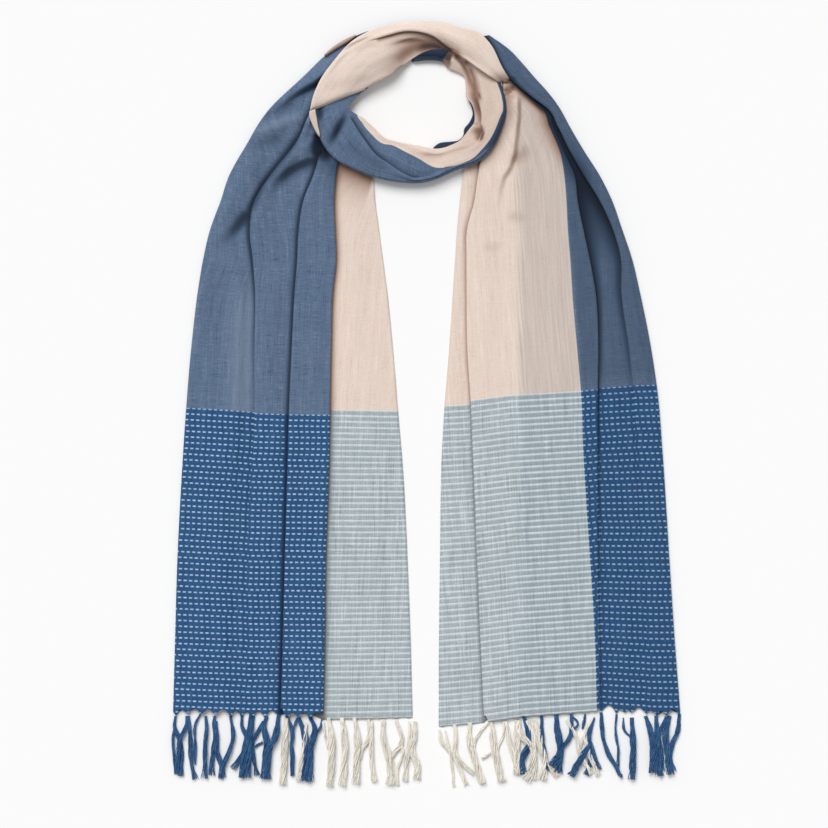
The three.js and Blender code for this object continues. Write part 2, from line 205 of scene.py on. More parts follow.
# Left tail from the hem upwards. A is the outer edge and B the blush selvedge, in pixels. The other
# columns are shares of the way from A to B: the crest of the outer panel, the edge of the second
# panel that lies over it, the pleat where the right part lies over the second panel, and the lap
# where the blue cloth lies over the blush. Relief is the share of the folds' full height, rim is how
# far the second panel's edge stands up, and lift raises the row by millimetres.
LEFT_TAIL = table(
    "ax ay bx by crest edge pleat lap relief rim lift",
    (173, 713, 412.5, 717, 0.235, 0.305, 0.451, 0.626, 0.8, 0.1, 0),
    (175, 640, 410.5, 641, 0.221, 0.304, 0.459, 0.635, 0.9, 0.12, 0),
    (177.3, 560, 407.5, 561, 0.205, 0.303, 0.468, 0.644, 1, 0.15, 0),
    (182, 470, 403, 471, 0.213, 0.312, 0.478, 0.664, 1, 0.2, 0),
    (186, 410, 398, 411, 0.228, 0.325, 0.487, 0.679, 1, 0.25, 0),
    (191, 350, 393, 350, 0.225, 0.315, 0.5, 0.693, 1, 0.3, 0),
    (198, 290, 387, 290, 0.212, 0.302, 0.514, 0.714, 1, 0.4, 0),
    (203, 260, 383, 260, 0.17, 0.278, 0.525, 0.739, 0.9, 0.6, 0),
    (210, 230, 379, 230, 0.08, 0.238, 0.527, 0.74, 0.7, 0.9, 0.2),
    (221, 200, 375, 200, 0.09, 0.222, 0.539, 0.735, 0.7, 1, 0.8),
    (229, 176, 373, 176, 0.12, 0.288, 0.587, 0.743, 0.7, 1, 1.2),
    (247, 144, 368, 152, 0.16, 0.385, 0.61, 0.76, 0.7, 1, 1.6),
    (267, 112, 345, 122, 0.2, 0.53, 0.69, 0.82, 0.6, 0.8, 2.2),
    (300, 80, 346, 99, 0.25, 0.58, 0.72, 0.83, 0.5, 0.4, 2.4),
    (337, 47, 374, 76, 0.3, 0.58, 0.72, 0.83, 0.4, 0.2, 2),
    (375, 30, 396, 60, 0.3, 0.58, 0.72, 0.83, 0.4, 0, 1),
    (405, 31, 410, 60, 0.3, 0.58, 0.72, 0.83, 0.2, 0, 0),
)

# Right tail from the hem upwards. A is the blush selvedge and B the outer fold. The shares are the
# pleat, the end of the blush cloth, the lap where the inner blue part lies over the outer one, and
# the inner edge of the outer strip. Inner is how far that lap stands up, and gap is how deep the
# cloth sinks beside the strip.
RIGHT_TAIL = table(
    "ax ay bx by pleat tint lap strip relief inner gap lift",
    (438.7, 723, 680, 714, 0.188, 0.655, 0.672, 0.87, 0.5, 0.5, 0.1, 0),
    (439, 641, 674.3, 640, 0.176, 0.662, 0.684, 0.88, 0.6, 0.5, 0.1, 0),
    (440, 561, 669, 560, 0.162, 0.655, 0.69, 0.88, 0.7, 0.6, 0.2, 0),
    (442, 450, 662, 450, 0.139, 0.641, 0.707, 0.88, 0.8, 0.7, 0.4, 0),
    (445, 400, 658, 400, 0.12, 0.64, 0.715, 0.885, 1, 0.8, 0.6, 0),
    (449, 350, 651, 350, 0.091, 0.634, 0.738, 0.89, 1, 0.9, 0.9, 0),
    (453, 290, 639, 290, 0.073, 0.64, 0.763, 0.904, 1, 1, 1.3, 0),
    (455, 260, 632, 260, 0.065, 0.651, 0.76, 0.937, 1, 1, 1.7, 0),
    (457, 230, 622, 230, 0.061, 0.671, 0.764, 0.944, 1, 1, 2.2, 0.3),
    (460, 200, 611, 199, 0.097, 0.703, 0.775, 0.917, 1, 1, 2.8, 1),
    (463, 176, 599.5, 176, 0.11, 0.74, 0.815, 0.886, 1, 0.9, 3.2, 1.6),
    (468, 151, 583, 150, 0.13, 0.79, 0.822, 0.878, 1, 0.3, 3.4, 2.2),
    (478, 129, 569.5, 127, 0.17, 0.775, 0.8, 0.872, 0.8, 0, 3.4, 3),
    (487, 112, 559, 108, 0.2, 0.75, 0.79, 0.83, 0.6, 0, 2.8, 4.4),
    (498, 95, 547, 92, 0.1, 0.52, 0.545, 0.57, 0.4, 0, 2.2, 5.5),
    (500, 82, 536, 80, 0.08, 0.27, 0.29, 0.31, 0.2, 0, 1.8, 6),
    (497, 71, 524, 66, 0.1, 0.18, 0.2, 0.22, 0.2, 0, 1.4, 5),
    (486, 54, 509, 50, 0.1, 0.18, 0.2, 0.22, 0.2, 0, 0.8, 2.5),
    (475, 39, 489, 35.5, 0.1, 0.18, 0.2, 0.22, 0.2, 0, 0.4, 0.5),
)

# Neck band from its turned end at the left corner to the crumple on the right. A is the outer edge
# and B the inner one. Base is the height of the underside and crown the height of the top above it.
# At the fold the upper roll lies over the lower panel, which drops by step and sinks by sag.
NECK_BAND = table(
    "ax ay bx by base crown fold step sag",
    (310.5, 112.5, 363.5, 91, 12, 6, 0.05, 0, 0),
    (313, 100, 367, 88, 11, 9, 0.05, 0, 0),
    (318, 87, 373, 84.5, 10, 12, 0.05, 0, 0),
    (331, 66.5, 390, 76, 9.3, 14, 0.06, 0.4, 0.5),
    (355, 41, 399, 68, 9.3, 15, 0.19, 0.5, 2.4),
    (385, 27, 407, 63, 7, 16, 0.26, 4, 6.5),
    (400, 24, 414, 58, 6, 16.5, 0.27, 4.6, 9),
    (415, 22.5, 424, 52.5, 5.5, 17, 0.37, 4.8, 10),
    (430, 22.7, 436, 50.5, 5.5, 16.5, 0.55, 4.6, 8),
    (446, 24.6, 446, 51, 6.5, 15.5, 0.86, 3.4, 3),
    (461, 29, 455, 54.5, 8, 14, 0.93, 1, 0.6),
    (476, 33, 464, 59.5, 9, 13, 0.93, 0.4, 0),
    (491, 47, 478, 69.5, 9.5, 11.5, 0.93, 0, 0),
    (502, 69, 491, 77.5, 9.5, 9, 0.93, 0, 0),
    (509, 80, 500, 83, 9, 5, 0.93, 0, 0),
)

# Front loop from below the band, down the right arm, round the front and up to the left corner. A is
# the outer edge and B the edge of the opening. The diagonal fold has its outer part on top, and so
# has the crease of the arm, where the cloth drops by arm. The blush cloth ends at tint, less the width
# that is turned below B.
FRONT_LOOP = table(
    "ax ay bx by base crown fold step tint crease arm turn",
    (408, 30, 412, 61, 0.3, 7, 0.1, 0, 0.975, 0.985, 0, 22),
    (425, 28, 426, 59.5, 0.3, 7.5, 0.1, 0, 0.975, 0.985, 0, 22),
    (442, 31, 441, 61, 0.3, 8, 0.1, 0, 0.9, 0.94, 0, 8),
    (458, 38, 448, 68, 0.3, 8.4, 0.05, 0, 0.3, 0.75, 0.3, 0),
    (474, 50, 458, 72.5, 0.4, 8.6, 0.04, 0, 0.1, 0.74, 0.6, 0),
    (487, 63, 464.5, 77, 0.8, 8.6, 0.04, 0, 0.08, 0.75, 0.8, 0),
    (497, 76, 466, 86, 2, 9, 0.04, 0, 0.08, 0.77, 1.4, 0),
    (502, 88, 466.2, 93, 4, 9.5, 0.04, 0, 0.08, 0.78, 2, 0),
    (505, 98, 467, 98.5, 6, 10, 0.05, 0, 0.1, 0.785, 2.6, 0),
    (506, 111, 472, 105, 7.2, 10.8, 0.05, 0, 0.1, 0.79, 2.8, 0),
    (504.5, 120, 474.5, 113, 7.4, 11.6, 0.08, 0, 0.17, 0.78, 2.9, 0),
    (501, 130, 474.5, 122.5, 7.2, 12.2, 0.1, 0, 0.2, 0.75, 2.8, 0),
    (495, 144, 469, 130.5, 6.6, 12.8, 0.1, 0, 0.22, 0.56, 2.4, 0),
    (487, 155, 464, 137, 6, 13.2, 0.1, 0, 0.24, 0.54, 2, 0),
    (477, 163, 459, 142, 5.2, 13.6, 0.08, 0, 0.2, 0.64, 1.6, 0),
    (464, 167.5, 451, 146, 4.6, 14, 0.06, 0, 0.15, 0.72, 1.2, 0),
    (450, 173, 442, 149, 4.4, 14, 0.08, 0.6, 0.2, 0.73, 0.6, 0),
    (436, 179.5, 432.5, 149.5, 4.4, 14, 0.08, 1.6, 0.37, 0.78, 0.2, 0),
    (420, 183.3, 420, 147, 4.6, 13.8, 0.08, 2.2, 0.63, 0.85, 0, 0),
    (404, 183, 406, 144.5, 5.4, 13.4, 0.21, 2.8, 0.78, 0.92, 0, 0),
    (386, 180.5, 394, 142, 6.4, 12.8, 0.4, 2.9, 0.88, 0.95, 0, 0),
    (368, 175.5, 384, 138.5, 7.2, 12, 0.52, 3.3, 0.85, 0.95, 0, 0),
    (352, 168.5, 374, 129, 7.8, 11.2, 0.64, 3.4, 0.86, 0.96, 0, 0),
    (339, 162, 364, 121, 8, 10.2, 0.75, 3.2, 0.93, 0.97, 0, 0),
    (329, 153, 357, 117, 8, 9.2, 0.84, 2.4, 0.955, 0.98, 0, 5),
    (322, 142, 351.5, 113.5, 8, 8, 0.9, 1.2, 0.965, 0.985, 0, 14),
    (317, 130, 347.8, 109, 8, 7, 0.9, 0.4, 0.965, 0.985, 0, 16),
    (310.5, 114, 351, 102.5, 8, 6, 0.9, 0, 0.965, 0.985, 0, 14),
    (313, 104, 358, 95.5, 8, 4.5, 0.9, 0, 0.965, 0.985, 0, 14),
    (320, 95, 367, 88.5, 7.5, 3.6, 0.9, 0, 0.965, 0.985, 0, 14),
)

# The blue layer that peeps out below the right arm at the opening, from its hidden edge A to B.
INNER_LAYER = table(
    "ax ay bx by",
    (478, 99, 469, 101),
    (479, 108, 471.7, 107),
    (480, 116, 473, 114.5),
    (479, 124, 469.5, 123),
    (475, 131, 464.6, 129),
    (470, 138, 463.6, 135.5),
    (463, 146, 458, 141),
    (455, 151, 450, 142.2),
    (446, 155, 439, 143.8),
    (438, 157, 433.5, 148),
)

# The blush edge of the layer behind that peeps out along the left shoulder.
OUTER_EDGE = table(
    "ax ay bx by",
    (324.5, 56, 324.8, 56.4),
    (330, 51, 331, 52.2),
    (338, 45, 339.4, 47),
    (346, 40.4, 347.3, 42.6),
    (351, 38, 351.8, 39.6),
    (356, 36, 356.3, 36.6),
)

# The band's corner that is turned over at the left, from its outer edge A to its inner edge B.
CORNER_FLAP = table(
    "ax ay bx by",
    (310.4, 112.5, 315.6, 110.6),
    (309.9, 116, 316.2, 114.5),
    (311.3, 121, 317.3, 120),
    (313.8, 127, 318.2, 126.5),
    (316.8, 133, 319.6, 132.7),
    (319.6, 137.6, 320.2, 137.4),
)

# Where the end panel starts and where the hem lies at the marks of each tail's section, in pixels.
LEFT_PANEL = {
    "selvedge": (411, 718),
    "blush": (410, 720),
    "tint": (415, 717),
    "pleat": (414.5, 716),
    "under": (414.5, 716),
    "valley": (412.5, 715.5),
    "crest": (410.5, 714.5),
    "fold": (408, 713),
    "end": (408, 713),
}
RIGHT_PANEL = {
    "selvedge": (406, 727),
    "under": (404.5, 723),
    "pleat": (400, 722),
    "middle": (395.5, 716.5),
    "tint": (391, 711),
    "inner": (389.5, 710),
    "lap": (388.5, 710),
    "strip": (386, 713),
    "fold": (385, 714),
    "end": (385, 714),
}


def spaced(keys: np.ndarray, values: np.ndarray, at: np.ndarray) -> np.ndarray:
    """Smooth curve through the values at uneven keys, read at other places.

    Args:
        keys: rising places of the values.
        values: one value for each key.
        at: the places to read.

    Returns:
        The curve's values there.
    """
    step = np.diff(keys)
    slope = np.diff(values) / step
    inner = (slope[:-1] * step[1:] + slope[1:] * step[:-1]) / (step[:-1] + step[1:])
    tangent = np.concatenate([slope[:1], inner, slope[-1:]])
    i = np.clip(np.searchsorted(keys, at, "right") - 1, 0, len(step) - 1)
    t = (at - keys[i]) / step[i]
    h = step[i]
    return (
        values[i] * (2 * t**3 - 3 * t**2 + 1)
        + tangent[i] * h * (t**3 - 2 * t**2 + t)
        + values[i + 1] * (3 * t**2 - 2 * t**3)
        + tangent[i + 1] * h * (t**3 - t**2)
    )


def smooth(t: np.ndarray) -> np.ndarray:
    """Eased share from 0 to 1."""
    t = np.clip(t, 0, 1)
    return t * t * (3 - 2 * t)


# Folds and ripples laid over the cloth.


class Side(Enum):
    """Which side of a fold line, seen along it, carries the higher cloth."""

    LEFT = 1.0
    RIGHT = -1.0


@dataclass(frozen=True)
class Fold:
    """A fold or crease laid over the cloth along a line of the photograph.

    The cloth rises to the line on its high side within the soft width and falls off within the
    sharp width on the other, where it sinks by drop at the foot. A negative rise is a valley. Dark
    is painted shade: how far the colour of its low side is darkened where the real fold goes
    deeper than the shell, and reach is the width of that painted shade. A negative dark is a
    painted highlight on a paler, lit crest. Widths and heights are in millimetres.
    """

    line: tuple[tuple[float, float], ...]
    rise: float
    soft: float
    sharp: float
    high: Side = Side.LEFT
    fade_in: float = 0.25
    fade_out: float = 0.25
    drop: float = 0.0
    foot: float = 8.0
    dark: float = 0.0
    reach: float = 4.0

    def laid(self, x: np.ndarray, y: np.ndarray) -> tuple[np.ndarray, np.ndarray]:
        """Height to add and painted shade at places of the plan.

        Args:
            x: places in metres.
            y: places in metres.

        Returns:
            The height in metres and the painted shade as a share, below zero for a painted highlight.
        """
        path = np.array(self.line, float)
        px, py = PHOTO.x(path[:, 0]), PHOTO.y(path[:, 1])
        lengths = np.hypot(np.diff(px), np.diff(py))
        starts = np.concatenate([[0], np.cumsum(lengths)])
        best = np.full(x.shape, 1e9)
        signed, share = np.zeros(x.shape), np.zeros(x.shape)
        for i, length in enumerate(lengths):
            ux, uy = (px[i + 1] - px[i]) / length, (py[i + 1] - py[i]) / length
            dx, dy = x - px[i], y - py[i]
            along = np.clip(dx * ux + dy * uy, 0, length)
            gap = np.hypot(dx - along * ux, dy - along * uy)
            near = gap < best
            best = np.where(near, gap, best)
            signed = np.where(near, np.sign(ux * dy - uy * dx) * gap, signed)
            share = np.where(near, (starts[i] + along) / starts[-1], share)
        signed = signed * self.high.value
        soft, sharp, reach = self.soft * MM, self.sharp * MM, self.reach * MM
        high = np.exp(-((signed / soft) ** 2))
        low = np.exp(-((signed / sharp) ** 2))
        foot = (1 - low) * np.exp(-((signed / (self.foot * MM)) ** 2))
        shape = np.where(signed >= 0, self.rise * high, self.rise * low - self.drop * foot)
        ends = smooth(share / self.fade_in) * smooth((1 - share) / self.fade_out)
        clear = reach if self.rise < 0 else 0.6 * MM + 0.2 * reach
        dark = np.exp(-((signed / np.where(signed >= 0, clear, reach)) ** 2))
        return MM * shape * ends, self.dark * dark * ends


@dataclass(frozen=True)
class Ripple:
    """Shallow waves of hand-woven cloth that has been lying folded."""

    seed: int
    height: float = 0.32
    across: float = 17.0
    along: float = 210.0

    def lift(self, d: np.ndarray, v: np.ndarray) -> np.ndarray:
        """Height in metres at distances from edge A and along the cloth."""
        dice = np.random.default_rng(self.seed)
        total = np.zeros(d.shape)
        for octave in range(9):
            size = 2 ** (-octave / 4)
            wave = self.across * size * dice.uniform(0.8, 1.6) * MM
            drift = self.along * size * dice.uniform(0.5, 1.3) * MM
            phase, turn = dice.uniform(0, 2 * math.pi, 2)
            bend = 0.9 * np.sin(v / drift * 2 * math.pi + turn)
            total += size * np.sin(d / wave * 2 * math.pi + phase + bend) * dice.uniform(0.4, 1)
        return total * self.height * MM / 2.2


# Where a fold has a dark, it paints shade along its low side; a negative dark paints a highlight.
LEFT_FOLDS = (
    # the outer roll of the shoulder over the deep crease below it, the crease painted dark as shade
    Fold(((356, 54), (336, 66), (323, 77), (314, 84), (303, 90), (291, 97), (278, 108), (266, 122)),
         4.6, 12, 2.6, Side.RIGHT, 0.05, 0.75, 5.0, 9, 1.0, 6),
    # the soft ridge across the shoulder, between two valleys
    Fold(((306, 115), (290, 121), (270, 128), (251, 138), (240, 152)), 2.8, 7, 7, Side.RIGHT, 0.1, 0.5),
    Fold(((300, 104), (285, 110), (268, 115), (250, 128)), -2.4, 6, 6, Side.RIGHT, 0.2, 0.5, 0, 8,
         0.2, 7),
    Fold(((290, 136), (276, 141), (262, 146), (246, 155)), -2.2, 7, 7, Side.RIGHT, 0.3, 0.5, 0, 8,
         0.24, 7),
    # the outer panel sinks towards the second panel
    Fold(((304, 128), (296, 141), (285, 157), (272, 173), (263, 184), (257, 198), (249, 213),
          (238, 227), (226, 240), (216, 247)), -2.6, 5, 5, Side.RIGHT, 0.15, 0.35, 0, 8, 0.5, 4.5),
    Fold(((249, 212), (240, 224), (228, 239), (214, 250)), -2.4, 6, 6, Side.RIGHT, 0.1, 0.8, 0, 8,
         0.62, 6),
    # the second panel's nose, its rounded ridge and the hollow below it, painted dark as shade
    Fold(((306, 116), (311, 128), (312, 140), (306, 150), (296, 156), (284, 165), (271, 177),
          (262, 190)), 3.4, 6, 6, Side.RIGHT, 0.1, 0.4),
    Fold(((318, 158), (308, 160), (298, 164), (288, 170), (277, 180), (267, 194)), 1.4, 7, 6,
         Side.RIGHT, 0.05, 0.5, 3.6, 10, 0.72, 8.5),
    # the deep hollow between the loop and the second panel, painted dark as shade
    Fold(((320, 134), (319, 142), (319, 150), (319, 157)), -9, 4.6, 4.6, Side.RIGHT, 0.1, 0.15, 0, 8,
         1.0, 7),
    Fold(((323, 141), (326, 148), (327, 155)), -6, 4, 4, Side.RIGHT, 0.1, 0.2, 0, 8, 1.0, 6.5),
    Fold(((311, 156), (320, 155), (334, 158)), -4, 5, 5, Side.RIGHT, 0.3, 0.3, 0, 8, 0.92, 5.5),
    # painted shadow of the loop above
    Fold(((318, 138), (324, 150), (332, 159), (342, 165), (356, 171), (376, 177)), 0, 1, 1, Side.LEFT,
         0.05, 0.05, 0, 8, 0.42, 15),
    # painted shadow on the pink cloth below the loop
    Fold(((334, 162), (350, 171), (374, 179)), 0, 1, 1, Side.LEFT, 0.05, 0.05, 0, 8, 0.2, 30),
    # soft creases of the lower half
    Fold(((243, 262), (241, 300), (239, 350), (236, 420), (234, 470)), 1.2, 8, 8, Side.RIGHT, 0.2, 0.3,
         0, 8, 0, 7),
    # painted highlights on the lit crests
    Fold(((246, 262), (244, 300), (243, 350), (241, 420), (240, 470)), -0.01, 8, 8, Side.RIGHT, 0.3, 0.2,
         0, 8, -0.95, 13),
    Fold(((306, 115), (290, 121), (270, 128), (251, 138)), -0.01, 7, 7, Side.RIGHT, 0.2, 0.5, 0, 8,
         -0.75, 6),
    # painted shade in the slash beside the edge of the layer behind
    Fold(((344, 44), (352, 39.5), (361, 36), (371, 32.5)), -0.3, 2, 2, Side.RIGHT, 0.2, 0.1, 0, 8, 0.9,
         2.2),
    # soft folds of the panels
    Fold(((318, 190), (320, 250), (318, 330), (314, 440)), 1.4, 10, 8, Side.RIGHT, 0.3, 0.6),
    Fold(((274, 230), (271, 300), (268, 460)), 1.6, 8, 8, Side.RIGHT, 0.3, 0.5),
    Fold(((222, 256), (214, 300), (210, 380)), -1.6, 9, 9, Side.RIGHT, 0.3, 0.5, 0, 8, 0.08, 9),
    Fold(((352, 190), (350, 300), (352, 420)), 1.0, 8, 8, Side.RIGHT, 0.3, 0.5),
)

# Where a fold has a dark, it paints shade into the cloth along its low side.
RIGHT_FOLDS = (
    # soft crease of the blush cloth from the crumple down
    Fold(((517.7, 93), (518, 116), (516, 136), (514, 154), (509, 169), (503, 178), (500, 190),
          (498, 215)), 3.0, 11, 2.4, Side.RIGHT, 0.1, 0.5, 2.0, 8, 0.36, 2.8),
    # shallow crumples below it
    Fold(((505, 222), (515, 218), (528, 224)), -1.2, 5, 5, Side.RIGHT, 0.4, 0.4, 0, 8, 0.12, 6),
    Fold(((508, 163), (521, 158), (534, 161)), -1.4, 6, 6, Side.RIGHT, 0.4, 0.4, 0, 8, 0.15, 8),
    Fold(((480, 246), (492, 250), (506, 247)), -1.0, 5, 5, Side.RIGHT, 0.4, 0.4, 0, 8, 0.08, 6),
    Fold(((530, 145), (520, 158), (510, 168)), -1.6, 6, 6, Side.RIGHT, 0.3, 0.3, 0, 8, 0.12, 7),
    Fold(((536, 110), (538, 140), (536, 190), (534, 260)), -1.6, 9, 9, Side.RIGHT, 0.3, 0.6),
    # creases of the crumple beside the loop, painted dark as shade
    Fold(((501, 83), (506, 83.5), (511, 81), (517, 79)), -1.6, 1.8, 1.8, Side.RIGHT, 0.1, 0.3, 0, 8,
         0.9, 1.9),
    Fold(((511, 82), (514, 86), (511, 89), (505, 90), (501, 89)), -1.4, 1.4, 1.4, Side.RIGHT, 0.2, 0.3,
         0, 8, 0.75, 1.6),
    Fold(((503, 95), (508, 94), (513, 90), (517, 88)), -1.4, 1.6, 1.6, Side.RIGHT, 0.2, 0.3, 0, 8, 0.55,
         1.6),
    Fold(((504, 101), (511, 98), (516, 95)), 1.6, 2.4, 2.0, Side.RIGHT, 0.3, 0.3, 0.8, 3, 0.2, 2),
    # painted shade in the slit between the band and the outer strip
    Fold(((481, 33), (487, 40), (493, 50), (498, 61), (503, 71), (511, 81), (522, 92), (536, 105),
          (549, 117)), -0.8, 2.6, 2.6, Side.LEFT, 0.04, 0.1, 0, 8, 0.95, 2.7),
    # painted shadow of the loop above
    Fold(((502, 86), (506, 98), (507, 111), (504, 124), (497, 140), (489, 153), (478, 162), (464, 168)),
         0, 1, 1, Side.RIGHT, 0.05, 0.05, 0, 8, 0.36, 8),
    # soft creases of the lower half
    Fold(((607, 300), (612, 400), (618, 560)), 1.4, 8, 8, Side.RIGHT, 0.3, 0.4),
    Fold(((520, 300), (524, 420), (530, 600)), 1.1, 10, 10, Side.RIGHT, 0.3, 0.4),
    Fold(((553, 230), (556, 320), (560, 480)), 1.1, 9, 9, Side.RIGHT, 0.3, 0.4),
    Fold(((487, 200), (483, 300), (482, 460)), 1.2, 8, 8, Side.RIGHT, 0.3, 0.4),
)

# Where a fold has a dark, it paints shade into the cloth along its low side.
BAND_FOLDS = (
    # the mouth of the second fold above the hollow, painted dark as shade
    Fold(((385, 49), (392, 45), (400, 42), (409, 40.6), (418, 40.5), (430, 43)), 1.4, 4, 1.6, Side.LEFT,
         0.45, 0.35, 1.6, 5, 0.7, 3.0),
    # the hollow of the lower panel, painted dark as shade
    Fold(((376, 86), (386, 76), (395, 65), (404, 54), (413, 48), (427, 46), (441, 52)), -0.5, 9, 9,
         Side.LEFT, 0.6, 0.05, 0, 8, 0.52, 9),
    Fold(((414, 49), (424, 47), (433, 45.5), (444, 48), (456, 55.5), (464, 62)), -0.5, 4, 4, Side.LEFT,
         0.2, 0.2, 0, 8, 0.72, 4.6),
    Fold(((345, 62), (365, 54), (390, 50)), 1.6, 7, 6, Side.LEFT, 0.3, 0.4),
    Fold(((341, 54), (352, 46), (364, 40.5), (376, 37.5)), 1.0, 4, 1.8, Side.LEFT, 0.4, 0.4, 0.8, 4,
         0.3, 1.8),
    Fold(((352, 56), (366, 49), (382, 46)), -0.8, 3, 3, Side.LEFT, 0.3, 0.3, 0, 8, 0.12, 3),
    Fold(((322, 96), (350, 84), (378, 78)), -1.6, 7, 7, Side.LEFT, 0.3, 0.3, 0, 8, 0.06, 8),
    Fold(((330, 76), (352, 66), (380, 60)), 1.2, 6, 6, Side.LEFT, 0.3, 0.3),
    Fold(((488, 82), (499, 80), (511, 76)), -0.3, 4, 4, Side.LEFT, 0.2, 0.2, 0, 8, 0.3, 6),
    Fold(((430, 31), (455, 45), (480, 61)), 1.2, 5, 5, Side.LEFT, 0.3, 0.3),
    Fold(((424, 31), (446, 45), (470, 60), (490, 72)), -1.2, 4, 4, Side.LEFT, 0.3, 0.3, 0, 8, 0.05, 4),
)

# Where a fold has a dark, it paints shade into the cloth along its low side.
LOOP_FOLDS = (
    # painted shade on the back layer that shows below the band
    Fold(((390, 57), (412, 56), (428, 55), (452, 58)), -0.2, 9, 9, Side.LEFT, 0.01, 0.02, 0, 8, 0.9, 9),
    # the twin creases of the right arm, painted dark as shade
    Fold(((453, 54), (462, 63), (467.5, 74), (473, 91), (476.5, 112), (478.5, 124)), -4.4, 3, 3,
         Side.LEFT, 0.05, 0.25, 0, 8, 0.55, 2.7),
    Fold(((464, 60), (470, 68), (474, 80), (477, 97), (478.5, 112), (480, 127)), -3.0, 2, 2,
         Side.LEFT, 0.05, 0.25, 0, 8, 0.5, 2.0),
    Fold(((475, 122), (477.5, 132), (474.5, 143)), -2.2, 1.6, 1.6, Side.LEFT, 0.2, 0.2, 0, 8, 0.72, 1.6),
    Fold(((480, 125), (482.5, 135), (480, 144)), -2.6, 1.6, 1.6, Side.LEFT, 0.2, 0.2, 0, 8, 0.8, 1.8),
    Fold(((447, 56), (450, 62), (447, 69)), 1.6, 3, 1.6, Side.LEFT, 0.3, 0.3, 1.2, 4, 0.35, 3),
    # the valley across the left end, painted dark as shade
    Fold(((349, 108), (344.5, 117), (340, 126), (336, 134), (331.5, 142), (326, 151)), -4.5, 5, 3.4,
         Side.LEFT, 0.5, 0.45, 0, 8, 1.0, 4.0),
    Fold(((335, 112), (330, 124), (326, 136)), 1.6, 6, 6, Side.LEFT, 0.3, 0.3),
    Fold(((318, 108), (319, 117), (320.5, 128)), -3, 2.4, 2.4, Side.LEFT, 0.05, 0.6, 0, 8, 1.0, 3.2),
    # soft creases of the blue front
    Fold(((340, 140), (356, 154), (372, 165), (392, 174)), -1.4, 6, 6, Side.LEFT, 0.3, 0.3, 0, 8,
         0.16, 7),
    Fold(((349, 122), (360, 142), (372, 156)), 1.4, 5, 5, Side.RIGHT, 0.3, 0.3),
    Fold(((404, 152), (420, 160), (444, 163)), -1.6, 6, 6, Side.LEFT, 0.3, 0.3, 0, 8, 0.1, 6),
    Fold(((415, 156), (440, 157), (462, 150), (480, 141)), -2.2, 3.0, 3.0, Side.LEFT, 0.3, 0.2, 0, 8,
         0.2, 3),
    Fold(((489, 80), (492, 100), (490, 124)), -1.6, 6, 6, Side.LEFT, 0.3, 0.3, 0, 8, 0.05, 6),
)


# Stretches of cloth.


@dataclass(frozen=True)
class Hollow:
    """The mouth of an overlap, painted dark as shade: its hidden columns, its upper edge and its low
    side.
    """

    first: int
    last: int
    rising: bool
    at: np.ndarray
    depth: np.ndarray | float
    dark: np.ndarray | float
    reach: np.ndarray | float


